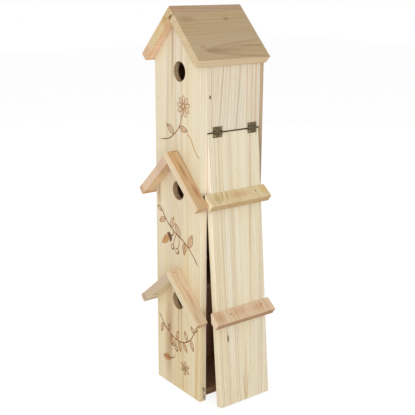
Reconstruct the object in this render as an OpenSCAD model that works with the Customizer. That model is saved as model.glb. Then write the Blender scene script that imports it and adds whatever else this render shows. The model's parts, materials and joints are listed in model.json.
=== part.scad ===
// Three-storey nest box: a tall gabled timber box with an entrance hole and
// a nest chamber on each storey, a small roof over each lower hole, and a
// cleaning door on the right side that hangs from two butt hinges.
//
// Millimetres, +Z up. The front faces -Y and the door is on +X. The origin is
// the middle of the base, on the ground.

/* [Body] */
// Width of the body across the front
body_w = 126; // [110:1:170]
// Depth of the body, front face to back face
body_d = 126; // [110:1:180]
// Thickness of the front board
front_t = 13; // [10:0.5:18]
// Thickness of the back board
back_t = 7; // [6:0.5:18]
// Thickness of the left side board, the right upper panel and the door
side_t = 12; // [9:0.5:16]

/* [Storeys] */
// Thickness of the bottom board and the two partitions
floor_t = 12; // [8:0.5:16]
// Height from the top of one floor to the top of the next
storey_h = 194; // [150:1:240]
// Diameter of the three entrance holes
hole_d = 32; // [26:1:38]
// Depth of a hole's centre below the ceiling of its storey
hole_drop = 28; // [20:1:60]
// Sideways place of each hole, from the bottom storey to the top one
hole_shift = [0, 2, 6]; // [-10:1:10]

/* [Main roof] */
// Height of the ridge above the level where a fourth floor would lie
ridge_rise = 61; // [55:1:100]
// Thickness of the two main roof boards
roof_t = 15; // [10:0.5:20]
// Pitch of the main roof in degrees
roof_pitch = 45; // [36:1:50]
// Length of a roof slope from the ridge to its eave
roof_slope = 111; // [106:1:150]
// How far the main roof stands out in front of the front board
roof_front = 15; // [5:1:40]
// How far the main roof stands out behind the back board
roof_back = 0; // [0:1:20]

/* [Small roofs] */
// Thickness of the small roofs' boards and of the ledges
trim_t = 14; // [9:0.5:18]
// How far the small roofs stand out in front of the front board
trim_reach = 21; // [12:1:40]
// How far the tips of the small roofs lie from the middle of the box
trim_half_w = 84.5; // [80:0.5:110]
// Height of a small roof's ridge above the centre of the hole under it
trim_ridge_rise = [60, 67]; // [50:1:80]
// Height of a small roof's tips below its ridge
trim_drop = [71.5, 76.5]; // [50:0.5:90]
// Sideways place of each small roof's ridge, the lower one first
trim_ridge_shift = [5, 0]; // [-10:1:10]

/* [Door] */
// Height of the door's top edge above the floor of the top storey
door_rise = 63; // [50:1:90]
// Gap between the bottom of the closed door and the ground
door_ground_gap = 1; // [0.5:0.5:6]
// Gap between the front edge of the door and the front board
door_front_gap = 0.5; // [0.4:0.1:3]
// Gap between the rear edge of the door and the back board
door_back_gap = 1.2; // [0.4:0.1:3]
// Gap between the top edge of the door and the upper panel
door_top_gap = 1.8; // [1:0.1:3]
// Gap between the closed door and the edges of the partitions
door_seal_gap = 2; // [1:0.5:6]
// How far the door stands open at rest, in degrees
door_ajar = 5.2; // [0:0.1:12]
// How much lower the door's ledges lie than the small roofs beside them
ledge_drop = 3; // [0:0.5:8]
// Thickness of the ledges on the door
ledge_t = 13; // [9:0.5:18]
// How far the tips of the door's ledges lie from the middle of the box
ledge_half_w = 82; // [78:0.5:108]
// Gap between the end of a ledge and the face of the front or back board
ledge_end_gap = 1.5; // [1:0.5:8]

/* [Hinges] */
// Length of a hinge along its pin
hinge_len = 18; // [14:0.5:30]
// Width of a hinge laid open, across its pin
hinge_w = 17; // [14:0.5:24]
// Thickness of a hinge leaf
leaf_t = 1; // [0.8:0.1:1.6]
// Outer diameter of the hinge knuckles
knuckle_d = 4; // [3.6:0.1:6]
// Diameter of the hinge pins
pin_d = 1.8; // [1.4:0.1:2.4]
// Distance of each hinge's middle from the front face
hinge_places = [32.5, 103]; // [24:0.5:110]
// Distance of the hinge screws from the ends of the leaf
screw_inset = 3.8; // [3:0.1:6]
// Distance of the hinge screws from the pin
screw_row = 5.7; // [5:0.1:8]
// Diameter of a hinge screw's head
screw_head_d = 3; // [2.4:0.1:3.6]
// Height of a hinge screw's head
screw_head_h = 0.7; // [0.4:0.1:1.2]
// Diameter of a hinge screw's shank
screw_shank_d = 1.5; // [1.2:0.1:2]
// Length of a hinge screw's shank
screw_len = 8; // [6:0.5:9]

/* [Latch] */
// Diameter of the turn hook's wire
hook_d = 2.4; // [2:0.1:3.2]
// Length of the turn hook's arm, from its screw to the tip
hook_arm = 20; // [14:0.5:21]
// Height of the turn hook's screw above the ground
hook_z = 25; // [24:0.5:60]
// Clear space between the hook's arm and the face of the closed door
hook_gap = 2.6; // [1.5:0.1:5]
// Depth of the hook's screw in the edge of the front board
hook_depth = 14; // [8:0.5:20]

/* [Hidden] */

$fn = 64;

// Colours of the timber and the fittings
pale_pine = [0.91, 0.85, 0.73];
roof_pine = [0.74, 0.64, 0.50];
trim_pine = [0.84, 0.68, 0.50];
dark_brass = [0.42, 0.36, 0.26];
zinc = [0.72, 0.72, 0.73];

// Faces of the body
front_y = -body_d / 2;
back_y = body_d / 2;
half_w = body_w / 2;
inner_front_y = front_y + front_t;
inner_back_y = back_y - back_t;
inner_depth = inner_back_y - inner_front_y;

// Storeys
function floor_top(storey) = floor_t + storey * storey_h;
function hole_z(storey) = floor_top(storey + 1) - floor_t - hole_drop;

// Main roof, as points across its width: [sideways, up]
total_h = floor_top(3) + ridge_rise;
ridge = [0, total_h];
slope_run = roof_slope * [cos(roof_pitch), -sin(roof_pitch)];
right_eave = ridge + slope_run;
left_eave = ridge + [-slope_run[0], slope_run[1]];
roof_drop = roof_t / cos(roof_pitch);

// Small roofs: number 0 is the lower one
function trim_ridge(n) = [trim_ridge_shift[n], hole_z(n) + trim_ridge_rise[n]];
function trim_tip(n, side) = [side * trim_half_w, trim_ridge(n)[1] - trim_drop[n]];

// Hinge line of the door
door_top = floor_top(2) + door_rise;
pin_x = half_w + knuckle_d / 2 + 0.3;
pin_z = door_top;
knuckle_gap = 0.3;
knuckle_len = (hinge_len - 2 * knuckle_gap) / 3;
pin_fit = 0.16;
pin_head_h = 0.8;
pin_head_d = 2.8;

// Door
door_z0 = door_ground_gap;
door_z1 = door_top - door_top_gap;
door_y0 = inner_front_y + door_front_gap;
door_y1 = inner_back_y - door_back_gap;
partition_right_x = half_w - side_t - door_seal_gap;

// Turn hook
hook_y = front_y + front_t / 2;
hook_arm_x = half_w + hook_gap + hook_d / 2;

// ---- Shapes used more than once ----

// Extrudes an outline drawn as [sideways, up] along the depth
module along_depth(y0, y1) {
    translate([0, y1, 0]) rotate([90, 0, 0]) linear_extrude(y1 - y0) children();
}

function unit(v) = v / norm(v);
function cross2(a, b) = a[0] * b[1] - a[1] * b[0];
function slope_dir(top, tip) = unit(tip - top);
// Distance along one slope that the other slope's board takes up
function lap_len(top, tip, other_tip, t) =
    t / abs(cross2(slope_dir(top, tip), slope_dir(top, other_tip)));
// Normal of a slope that points into the roof
function into_roof(top, tip) =
    let (d = slope_dir(top, tip)) d[0] > 0 ? [d[1], -d[0]] : [-d[1], d[0]];

// Outline of a roof board that runs up to the ridge and over its partner
function lapping_board(top, tip, other_tip, t) = [
    top, tip, tip + t * into_roof(top, tip),
    top + lap_len(top, tip, other_tip, t) * slope_dir(top, other_tip)
];
// Outline of its partner, which stops under it
function butting_board(top, tip, other_tip, t) =
    let (lap = lap_len(top, tip, other_tip, t)) [
        top + lap * slope_dir(top, tip), tip, tip + t * into_roof(top, tip),
        top + lap * (slope_dir(top, tip) + slope_dir(top, other_tip))
    ];

// Outline of a gabled board under the main roof
module gable_outline(x0, x1, z0) {
    foot_x = total_h / tan(roof_pitch);
    intersection() {
        translate([x0, z0]) square([x1 - x0, total_h]);
        polygon([[0, total_h - roof_drop], [-foot_x, -roof_drop], [foot_x, -roof_drop]]);
    }
}

// Outline of a ledge that carries a small roof's slope on along a wall
module ledge_outline(top, tip, t) {
    intersection() {
        polygon([top, tip, tip + t * into_roof(top, tip), top + t * into_roof(top, tip)]);
        if (tip[0] > 0) translate([half_w, 0]) square([total_h, total_h]);
        else translate([-half_w - total_h, 0]) square([total_h, total_h]);
    }
}

// Puts a piece of the closed door where the door stands at rest
module on_open_door() {
    translate([pin_x, 0, pin_z])
        rotate([0, -door_ajar, 0])
            translate([-pin_x, 0, -pin_z]) children();
}

// Places of a leaf's two screws: side is 1 above the pin and -1 below it
module at_leaf_screws(side) {
    for (place = hinge_places, end = [-1, 1])
        translate([half_w, front_y + place + end * (hinge_len / 2 - screw_inset), pin_z + side * screw_row])
            rotate([0, 90, 0]) children();
}

module screw_holes(side) {
    at_leaf_screws(side) translate([0, 0, -screw_len]) cylinder(d = screw_shank_d, h = screw_len + 2 * leaf_t);
}

module screws(side) {
    at_leaf_screws(side) {
        translate([0, 0, -screw_len]) cylinder(d = screw_shank_d, h = screw_len + leaf_t);
        translate([0, 0, leaf_t]) cylinder(d1 = screw_head_d, d2 = screw_head_d * 0.7, h = screw_head_h);
    }
}

// ---- Body ----

module front_board() {
    color(pale_pine) difference() {
        along_depth(front_y, inner_front_y) gable_outline(-half_w, half_w, 0);
        for (storey = [0:2])
            translate([hole_shift[storey], front_y - 1, hole_z(storey)])
                rotate([-90, 0, 0]) cylinder(d = hole_d, h = front_t + 2);
        translate([half_w - hook_depth, hook_y, hook_z])
            rotate([0, 90, 0]) cylinder(d = hook_d + pin_fit, h = hook_depth + 1);
    }
}

module back_board() {
    color(pale_pine) along_depth(inner_back_y, back_y) gable_outline(-half_w, half_w, 0);
}

module left_side_board() {
    color(pale_pine) along_depth(inner_front_y, inner_back_y)
        gable_outline(-half_w, -half_w + side_t, 0);
}

module right_upper_panel() {
    color(pale_pine) difference() {
        along_depth(inner_front_y, inner_back_y) gable_outline(half_w - side_t, half_w, door_top);
        screw_holes(1);
    }
}

module floor_board(storey) {
    x0 = -half_w + side_t;
    translate([x0, inner_front_y, floor_top(storey) - floor_t])
        cube([partition_right_x - x0, inner_depth, floor_t]);
}

module bottom_board() { color(pale_pine) floor_board(0); }
module lower_partition() { color(pale_pine) floor_board(1); }
module upper_partition() { color(pale_pine) floor_board(2); }

// ---- Main roof ----

module roof_left_board() {
    color(roof_pine) along_depth(front_y - roof_front, back_y + roof_back)
        polygon(lapping_board(ridge, left_eave, right_eave, roof_t));
}

module roof_right_board() {
    color(roof_pine) along_depth(front_y - roof_front, back_y + roof_back)
        polygon(butting_board(ridge, right_eave, left_eave, roof_t));
}

// ---- Small roofs and the ledges that carry them on along the sides ----

module small_roof_left(n) {
    color(trim_pine) along_depth(front_y - trim_reach, front_y)
        polygon(butting_board(trim_ridge(n), trim_tip(n, -1), trim_tip(n, 1), trim_t));
}

module small_roof_right(n) {
    color(trim_pine) along_depth(front_y - trim_reach, front_y)
        polygon(lapping_board(trim_ridge(n), trim_tip(n, 1), trim_tip(n, -1), trim_t));
}

module lower_small_roof_left() { small_roof_left(0); }
module lower_small_roof_right() { small_roof_right(0); }
module upper_small_roof_left() { small_roof_left(1); }
module upper_small_roof_right() { small_roof_right(1); }

module left_ledge(n) {
    color(trim_pine) along_depth(front_y, back_y)
        ledge_outline(trim_ridge(n), trim_tip(n, -1), trim_t);
}

module left_lower_ledge() { left_ledge(0); }
module left_upper_ledge() { left_ledge(1); }

// ---- Door ----

module door_panel() {
    color(pale_pine) on_open_door() difference() {
        translate([half_w - side_t, door_y0, door_z0])
            cube([side_t, door_y1 - door_y0, door_z1 - door_z0]);
        screw_holes(-1);
    }
}

module door_ledge(n) {
    top = trim_ridge(n) + [0, -ledge_drop];
    slope = slope_dir(trim_ridge(n), trim_tip(n, 1));
    tip = top + slope * (ledge_half_w - top[0]) / slope[0];
    color(trim_pine) on_open_door() along_depth(front_y + ledge_end_gap, back_y - ledge_end_gap)
        ledge_outline(top, tip, ledge_t);
}

module door_lower_ledge() { door_ledge(0); }
module door_upper_ledge() { door_ledge(1); }

// ---- Hinges ----

// One leaf at the given place: side is 1 for the panel's leaf and -1 for the door's
module hinge_leaf(place, side) {
    y0 = front_y + place - hinge_len / 2;
    pitch = knuckle_len + knuckle_gap;
    segments = side > 0 ? [0, 2] : [1];
    color(dark_brass) difference() {
        union() {
            translate([half_w, y0, pin_z]) mirror([0, 0, side > 0 ? 0 : 1])
                translate([0, 0, knuckle_d / 2 + knuckle_gap])
                    cube([leaf_t, hinge_len, hinge_w / 2 - knuckle_d / 2 - knuckle_gap]);
            for (i = segments) {
                translate([pin_x, y0 + i * pitch, pin_z])
                    rotate([-90, 0, 0]) cylinder(d = knuckle_d, h = knuckle_len);
                translate([half_w, y0 + i * pitch, pin_z]) mirror([0, 0, side > 0 ? 0 : 1])
                    cube([leaf_t, knuckle_len, knuckle_d]);
            }
        }
        translate([pin_x, y0 - 1, pin_z]) rotate([-90, 0, 0]) cylinder(d = pin_d + pin_fit, h = hinge_len + 2);
        screw_holes(side);
    }
}

module hinge_pin(place) {
    color(dark_brass) translate([pin_x, front_y + place - hinge_len / 2, pin_z]) rotate([-90, 0, 0]) {
        translate([0, 0, -pin_head_h]) cylinder(d = pin_head_d, h = pin_head_h);
        cylinder(d = pin_d, h = hinge_len);
        translate([0, 0, hinge_len]) cylinder(d = pin_head_d, h = pin_head_h);
    }
}

module front_hinge_fixed_leaf() { hinge_leaf(hinge_places[0], 1); }
module front_hinge_door_leaf() { on_open_door() hinge_leaf(hinge_places[0], -1); }
module front_hinge_pin() { hinge_pin(hinge_places[0]); }
module rear_hinge_fixed_leaf() { hinge_leaf(hinge_places[1], 1); }
module rear_hinge_door_leaf() { on_open_door() hinge_leaf(hinge_places[1], -1); }
module rear_hinge_pin() { hinge_pin(hinge_places[1]); }
module hinge_panel_screws() { color(dark_brass) screws(1); }
module hinge_door_screws() { color(dark_brass) on_open_door() screws(-1); }

// ---- Latch ----

// A square-bend screw hook in the edge of the front board, hanging down
module turn_hook() {
    bend = hook_d;
    color(zinc) {
        translate([half_w - hook_depth + 1, hook_y, hook_z])
            rotate([0, 90, 0]) cylinder(d = hook_d, h = hook_depth - 1 + hook_arm_x - half_w - bend);
        translate([hook_arm_x - bend, hook_y, hook_z - bend])
            rotate([90, 0, 0]) rotate_extrude(angle = 90) translate([bend, 0]) circle(d = hook_d);
        translate([hook_arm_x, hook_y, hook_z - hook_arm]) cylinder(d = hook_d, h = hook_arm - bend);
    }
}

front_board();
back_board();
left_side_board();
right_upper_panel();
bottom_board();
lower_partition();
upper_partition();
roof_left_board();
roof_right_board();
lower_small_roof_left();
lower_small_roof_right();
upper_small_roof_left();
upper_small_roof_right();
left_lower_ledge();
left_upper_ledge();
door_panel();
door_lower_ledge();
door_upper_ledge();
front_hinge_fixed_leaf();
front_hinge_door_leaf();
front_hinge_pin();
rear_hinge_fixed_leaf();
rear_hinge_door_leaf();
rear_hinge_pin();
hinge_panel_screws();
hinge_door_screws();
turn_hook();
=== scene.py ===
# %% [markdown]
# # A three-storey nest box in bare pine
# This script dresses a nest box: a tall front board with three entrance holes, a main gable roof,
# two small roofs over the lower holes, and a long cleaning door that hangs from two butt hinges.
# The CAD model gives every size and place. Here each board gets broken edges and real growth
# rings, and the hardware gets its screws, its tarnish and its thread.

# %% The frame
import json
import math
import bmesh
import bpy
import numpy as np
from mathutils import Matrix, Vector, geometry, kdtree


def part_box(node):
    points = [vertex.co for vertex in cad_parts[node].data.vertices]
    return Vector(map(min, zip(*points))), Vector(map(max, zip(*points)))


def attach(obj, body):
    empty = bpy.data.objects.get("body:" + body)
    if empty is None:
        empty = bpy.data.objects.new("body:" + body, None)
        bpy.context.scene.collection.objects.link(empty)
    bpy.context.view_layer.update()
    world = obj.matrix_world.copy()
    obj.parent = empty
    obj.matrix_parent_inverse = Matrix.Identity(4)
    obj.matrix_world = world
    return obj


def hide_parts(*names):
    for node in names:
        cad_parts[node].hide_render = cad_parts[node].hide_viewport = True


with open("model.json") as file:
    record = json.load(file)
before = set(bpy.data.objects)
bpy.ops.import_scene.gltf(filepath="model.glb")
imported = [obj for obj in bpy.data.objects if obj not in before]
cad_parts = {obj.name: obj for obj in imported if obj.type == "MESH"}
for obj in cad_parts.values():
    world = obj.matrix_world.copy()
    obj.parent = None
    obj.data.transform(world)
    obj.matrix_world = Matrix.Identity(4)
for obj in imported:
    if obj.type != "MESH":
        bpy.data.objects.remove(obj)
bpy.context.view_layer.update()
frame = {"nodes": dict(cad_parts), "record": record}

MM = 0.001
TOUCHING = 1e-6  # metres: points of a mesh that are closer than this are one
nodes, record = frame["nodes"], frame["record"]
body_of_node = {n: body for body, members in record["behaviour"]["bodies"].items() for n in members}
ajar = math.radians(5.2)  # the CAD model leaves the door this far open


def mm(*values):
    """Millimetres to metres, as a tuple."""
    return tuple(v * MM for v in values)


def new_object(name, data):
    """A new object in the scene that shows a mesh, a camera or a lamp."""
    made = bpy.data.objects.new(name, data)
    bpy.context.scene.collection.objects.link(made)
    return made


# %% [markdown]
# ## Camera
# The viewer stands in front and to the right, a little above the middle of the box, with a
# portrait lens, so upright edges stay nearly parallel. The camera is placed by its distance and
# two angles round a point in the box, and then rolled by a third of a degree. The lamps are placed
# by two angles as well, so the direction is a function.

# %% The camera
AIM_POINT, DISTANCE = Vector((-1.6, 0.0, 319.6)) * MM, 1410.0 * MM
AZIMUTH, ELEVATION, ROLL = 52.87, 15.83, 0.32  # degrees
SENSOR, LENS = 36.0, 71.9  # millimetres


def direction(azimuth, elevation):
    """From the box towards a viewer or a lamp, by two angles in degrees; 0, 0 is straight in front."""
    a, e = math.radians(azimuth), math.radians(elevation)
    return Vector((math.sin(a) * math.cos(e), -math.cos(a) * math.cos(e), math.sin(e)))


back, roll = direction(AZIMUTH, ELEVATION), math.radians(ROLL)
level_right = (-back).cross(Vector((0, 0, 1))).normalized()
right = level_right * math.cos(roll) + level_right.cross(-back) * math.sin(roll)
turn = Matrix((right, right.cross(-back), back)).transposed().to_4x4()

camera = new_object("camera", bpy.data.cameras.new("camera"))
camera.data.sensor_width, camera.data.lens = SENSOR, LENS
camera.matrix_world = Matrix.Translation(AIM_POINT + back * DISTANCE) @ turn
bpy.context.scene.camera = camera
print("camera at", [round(v, 3) for v in camera.matrix_world.translation])

# %% [markdown]
# ## Node helpers
# Every material and Geometry Nodes tree below is wired in code. `Tree` keeps that readable: `add`
# makes a node and plugs its inputs in one line, and the kinds that come up most have a short
# method of their own. An input may be a number, a colour or another node's socket.

# %% Node helpers
class Tree:
    """A node tree with one short call for a node, its settings and its inputs."""

    def __init__(self, tree):
        self.tree = tree

    def plug(self, socket, value):
        if isinstance(value, bpy.types.NodeSocket):
            self.tree.links.new(value, socket)
        else:
            socket.default_value = value

    def add(self, kind, inputs=(), out=0, **settings):
        node = self.tree.nodes.new(kind)
        for key, value in settings.items():
            setattr(node, key, value)
        for key, value in (inputs.items() if isinstance(inputs, dict) else enumerate(inputs)):
            self.plug(node.inputs[key], value)
        return node if out is None else node.outputs[out]

    def use(self, shared, **inputs):
        """The outputs of a shared group; an underscore in an input's name stands for a space."""
        named = {label.replace("_", " "): value for label, value in inputs.items()}
        return self.add("ShaderNodeGroup", named, out=None, node_tree=shared).outputs

    def math(self, operation, *values, clamp=False):
        return self.add("ShaderNodeMath", values, operation=operation, use_clamp=clamp)

    def vector(self, operation, *values):
        out = 1 if operation in ("LENGTH", "DOT_PRODUCT") else 0
        return self.add("ShaderNodeVectorMath", values, out, operation=operation)

    def join(self, x, y, z):
        return self.add("ShaderNodeCombineXYZ", (x, y, z))

    def split(self, vector):
        return self.add("ShaderNodeSeparateXYZ", (vector,), out=None).outputs

    def noise(self, spot, scale=1.0, detail=2.0):
        return self.add("ShaderNodeTexNoise", {"Vector": spot, "Scale": scale, "Detail": detail})

    def attribute(self, name):
        """A number that the mesh carries, such as how burnt it is."""
        return self.add("ShaderNodeAttribute", out=2, attribute_name=name)

    def blend(self, factor, a, b, how="MIX", kind="Color"):
        data = "RGBA" if kind == "Color" else "VECTOR"
        node = self.add("ShaderNodeMix", out=None, data_type=data, blend_type=how)
        for name, value in (("Factor_Float", factor), (f"A_{kind}", a), (f"B_{kind}", b)):
            self.plug(next(s for s in node.inputs if s.identifier == name), value)
        return next(s for s in node.outputs if s.identifier == f"Result_{kind}")

    def ramp(self, value, low, high, to_low=0.0, to_high=1.0):
        limits = (value, low, high, to_low, to_high)
        return self.add("ShaderNodeMapRange", limits, interpolation_type="SMOOTHSTEP")

    def surface(self, shader, kind="Material"):
        """Sends a shader to the output of a material or a world."""
        self.plug(self.add("ShaderNodeOutput" + kind, out=None).inputs["Surface"], shader)


print("tree methods:", [name for name in vars(Tree) if not name.startswith("_")])

# %% [markdown]
# ## Groups, materials and colours
# An effect that several materials share is a node group with named sockets, so it is built once
# and placed with other values in each. `group` starts one, and `new_material` starts a material.
# Colours are matched to sample cards, which are read from 0 to 255, while a shader counts light
# itself. `card` turns the one into the other.

# %% Groups, materials and colours
def group(name, inputs, outputs, kind="ShaderNodeTree"):
    """A node group with named sockets; inputs are (name, type, default)."""
    tree = bpy.data.node_groups.new(name, kind)
    for label, socket, default in inputs:
        made = tree.interface.new_socket(label, in_out="INPUT", socket_type="NodeSocket" + socket)
        if default is not None:
            made.default_value = default
    for label, socket in outputs:
        tree.interface.new_socket(label, in_out="OUTPUT", socket_type="NodeSocket" + socket)
    return Tree(tree), tree.nodes.new("NodeGroupInput").outputs, tree.nodes.new("NodeGroupOutput").inputs


def new_material(name):
    """An empty node material and its tree."""
    material = bpy.data.materials.new(name)
    material.use_nodes = True
    material.node_tree.nodes.clear()
    return material, Tree(material.node_tree)


def card(r, g, b):
    """A colour as read off a sample card, 0 to 255, in the linear values that shaders use."""
    levels = (r / 255, g / 255, b / 255)
    return tuple(((c + 0.055) / 1.055) ** 2.4 if c > 0.04 else c / 12.92 for c in levels) + (1.0,)


print("middle grey of a card in a shader:", round(card(128, 128, 128)[0], 3))

# %% [markdown]
# ## Growth rings
# A board is a slice out of a log, so its figure is the log's rings seen on the slice. Painting
# stripes would give every face the same look. This group keeps the log instead: it measures how
# far a point lies from the pith, adds a slow wave and the log's taper, and cuts that distance
# into rings. Faces along the grain show stripes and arches, and sawn ends show arcs.

# %% Growth rings
def seeded_place(t, i):
    """The place in the board, moved to another part of the noise by the board's seed."""
    return t.vector("ADD", i["Place"], t.join(i["Seed"], i["Seed"], i["Seed"]))


t, i, o = group(
    "growth_rings",
    [("Place", "Vector", None), ("Pith", "Vector", None), ("Ring Width", "Float", 0.005),
     ("Taper", "Float", 0.01), ("Wave", "Float", 0.002), ("Swirl", "Float", 0.0), ("Seed", "Float", 0.0)],
    [("Latewood", "Float"), ("Ring Tone", "Float")])
height = t.split(i["Place"])["Z"]
wave = t.math("SUBTRACT", t.noise(t.vector("MULTIPLY", seeded_place(t, i), (22.0, 22.0, 5.0))), 0.5)
pith = t.split(i["Pith"])
pith_here = t.join(t.math("MULTIPLY_ADD", height, pith["Z"], pith["X"]), pith["Y"], height)
radius = t.vector("LENGTH", t.vector("SUBTRACT", i["Place"], pith_here))
radius = t.math("ADD", radius, t.math("MULTIPLY", height, i["Taper"]))
radius = t.math("ADD", radius, t.math("MULTIPLY", wave, i["Wave"]))
radius = t.math("ADD", radius, i["Swirl"])
rings = t.math("DIVIDE", radius, i["Ring Width"])
years = {"W": t.math("MULTIPLY", rings, 0.45), "Scale": 1.0, "Detail": 1.0}
uneven = t.add("ShaderNodeTexNoise", years, noise_dimensions="1D")
rings = t.math("ADD", rings, t.math("MULTIPLY", uneven, 1.6))
number, part = t.math("FLOOR", rings), t.math("FRACT", rings)
chance, tone = (t.add("ShaderNodeTexWhiteNoise", {"W": t.math("ADD", number, shift)}, noise_dimensions="1D")
                for shift in (i["Seed"], 71.3))
strength = t.ramp(chance, 0.1, 1.0, 0.12, 1.0)
slow_rise = t.math("POWER", t.ramp(part, 0.35, 0.93), 2.0)
quick_fall = t.ramp(part, 0.94, 1.0, 1.0, 0.0)
t.plug(o["Latewood"], t.math("MULTIPLY", t.math("MULTIPLY", slow_rise, quick_fall), strength))
t.plug(o["Ring Tone"], tone)
growth_rings = t.tree
print("group:", growth_rings.name, len(growth_rings.nodes), "nodes")

# %% [markdown]
# ## Knots and flames
# A branch makes a knot: a dark plug with its own rings, and the board's rings bend round it. A
# flame is a long soft patch of darker wood with pointed ends, where a ring grazes the face. Both
# are ovals measured in the board's own axes, so one group serves them: it gives the plug, the
# plug's rings and the swirl that is added to the growth rings nearby.

# %% Knots and flames
t, i, o = group(
    "knot",
    [("Place", "Vector", None), ("Centre", "Vector", None), ("Size", "Vector", (0.003, 1.0, 0.004)),
     ("Softness", "Float", 0.2), ("Lean", "Float", 0.0)],
    [("Plug", "Float"), ("Plug Rings", "Float"), ("Swirl", "Float")])
gap = t.vector("SUBTRACT", i["Place"], i["Centre"])
sideways = t.math("MULTIPLY", t.split(gap)["Z"], i["Lean"])
oval = t.vector("DIVIDE", t.vector("SUBTRACT", gap, t.join(sideways, 0.0, 0.0)), i["Size"])
ragged = t.math("SUBTRACT", t.noise(oval, 1.3, 3.0), 0.5)
distance = t.math("ADD", t.vector("LENGTH", oval), t.math("MULTIPLY", ragged, 0.5))
inner, outer = t.math("SUBTRACT", 1.0, i["Softness"]), t.math("ADD", 1.0, i["Softness"])
t.plug(o["Plug"], t.ramp(distance, inner, outer, 1.0, 0.0))
t.plug(o["Plug Rings"], t.ramp(t.math("FRACT", t.math("MULTIPLY", distance, 3.0)), 0.3, 0.9))
fading = t.math("MULTIPLY", t.math("MULTIPLY", distance, distance), -0.16)
t.plug(o["Swirl"], t.math("EXPONENT", fading))
knot = t.tree
print("group:", knot.name, len(knot.nodes), "nodes")

# %% [markdown]
# ## Fibres
# Between the rings, softwood is a bundle of fine fibres with short brown resin canals. Both are
# noise stretched along the grain: much finer across it than along it. Broad, weak clouds of tone
# and long streaks go with them, because no board is the same colour from end to end.

# %% Fibres
t, i, o = group(
    "fibres", [("Place", "Vector", None), ("Seed", "Float", 0.0)],
    [("Fibre", "Float"), ("Canal", "Float"), ("Cloud", "Float"), ("Streak", "Float")])
shifted = seeded_place(t, i)
for label, per_metre, detail in (
        ("Fibre", (1300, 1300, 28), 3.0), ("Canal", (950, 950, 75), 0.0),
        ("Cloud", (32, 32, 4.5), 3.0), ("Streak", (330, 330, 2.4), 2.0)):
    noise = t.noise(t.vector("MULTIPLY", shifted, per_metre), detail=detail)
    t.plug(o[label], t.ramp(noise, 0.70, 0.78) if label == "Canal" else noise)
fibres = t.tree
print("group:", fibres.name, len(fibres.nodes), "nodes")

# %% [markdown]
# ## Glued staves
# Wide boards in such a box are glued up edge to edge from narrow staves, and each stave came
# from its own log. This group splits a board at two joints. Left of a joint and right of it the
# pith lies elsewhere and the tone differs, and a hair-thin line marks the glue.

# %% Glued staves
t, i, o = group(
    "glued_staves",
    [("Place", "Vector", None), ("Joint 1", "Float", -1.0), ("Joint 2", "Float", 1.0)]
    + [(f"Pith {n}", "Vector", (0.0, 0.1, 0.0)) for n in (1, 2, 3)]
    + [(f"Tint {n}", "Color", (1, 1, 1, 1)) for n in (1, 2, 3)],
    [("Pith", "Vector"), ("Tint", "Color"), ("Glue", "Float")])
x = t.split(i["Place"])["X"]
past_1, past_2 = (t.math("GREATER_THAN", x, i[f"Joint {n}"]) for n in (1, 2))
for label, kind in (("Pith", "Vector"), ("Tint", "Color")):
    first = t.blend(past_1, i[f"{label} 1"], i[f"{label} 2"], kind=kind)
    t.plug(o[label], t.blend(past_2, first, i[f"{label} 3"], kind=kind))
gaps = [t.math("ABSOLUTE", t.math("SUBTRACT", x, i[f"Joint {n}"])) for n in (1, 2)]
t.plug(o["Glue"], t.math("MAXIMUM", *(t.ramp(gap, 0.0001, 0.0005, 1.0, 0.0) for gap in gaps)))
glued_staves = t.tree
print("group:", glued_staves.name, len(glued_staves.nodes), "nodes")

# %% [markdown]
# ## From rings to timber
# The last of the wood's groups turns the masks into what the eye sees: early wood, darker late
# wood, fibres, the clouds, brown sawn ends, and a slightly darker band where the corner was
# sanded. It also gives the roughness and the relief, because late wood is harder and stands a
# little proud.

# %% Timber
t, i, o = group(
    "timber",
    [("Early", "Color", (1, 1, 1, 1)), ("Late", "Color", (0, 0, 0, 1)), ("Latewood", "Float", 0.0),
     ("Ring Tone", "Float", 0.5), ("Fibre", "Float", 0.5), ("Canal", "Float", 0.0), ("Cloud", "Float", 0.5),
     ("Streak", "Float", 0.5), ("End Grain", "Float", 0.0), ("Edge", "Float", 0.0)],
    [("Color", "Color"), ("Roughness", "Float"), ("Height", "Float")])
colour = t.blend(t.math("MULTIPLY", i["Latewood"], 0.8), i["Early"], i["Late"])
for weight, mask, dark, pale in (
        (0.10, i["Ring Tone"], (0.35, 0.33, 0.30, 1), (0.66, 0.64, 0.60, 1)),
        (0.55, t.ramp(i["Cloud"], 0.3, 0.7), (0.46, 0.43, 0.39, 1), (0.54, 0.545, 0.55, 1)),
        (0.70, t.ramp(i["Streak"], 0.3, 0.7), (0.43, 0.40, 0.38, 1), (0.55, 0.55, 0.54, 1)),
        (0.60, t.ramp(i["Fibre"], 0.25, 0.75), (0.44, 0.43, 0.41, 1), (0.55, 0.55, 0.55, 1))):
    colour = t.blend(weight, colour, t.blend(mask, dark, pale), "OVERLAY")
for label, weight, stain, how in (
        ("Canal", 0.22, (0.32, 0.19, 0.09, 1), "MIX"), ("End Grain", 0.45, (0.80, 0.70, 0.52, 1), "MULTIPLY"),
        ("Edge", 0.12, (0.86, 0.80, 0.70, 1), "MULTIPLY")):
    colour = t.blend(t.math("MULTIPLY", i[label], weight), colour, stain, how)
t.plug(o["Color"], colour)
rough = t.math("ADD", 0.56, t.math("MULTIPLY", i["Fibre"], 0.14))
rough = t.math("SUBTRACT", rough, t.math("MULTIPLY", i["Latewood"], 0.10))
t.plug(o["Roughness"], t.math("ADD", rough, t.math("MULTIPLY", i["End Grain"], 0.16)))
open_grain = t.math("MULTIPLY", i["Fibre"], t.math("ADD", 0.35, i["End Grain"]))
relief = t.math("ADD", t.math("MULTIPLY", i["Latewood"], 0.6), open_grain)
t.plug(o["Height"], t.math("SUBTRACT", relief, t.math("MULTIPLY", i["Canal"], 0.4)))
timber = t.tree
print("group:", timber.name, len(timber.nodes), "nodes")

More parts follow.
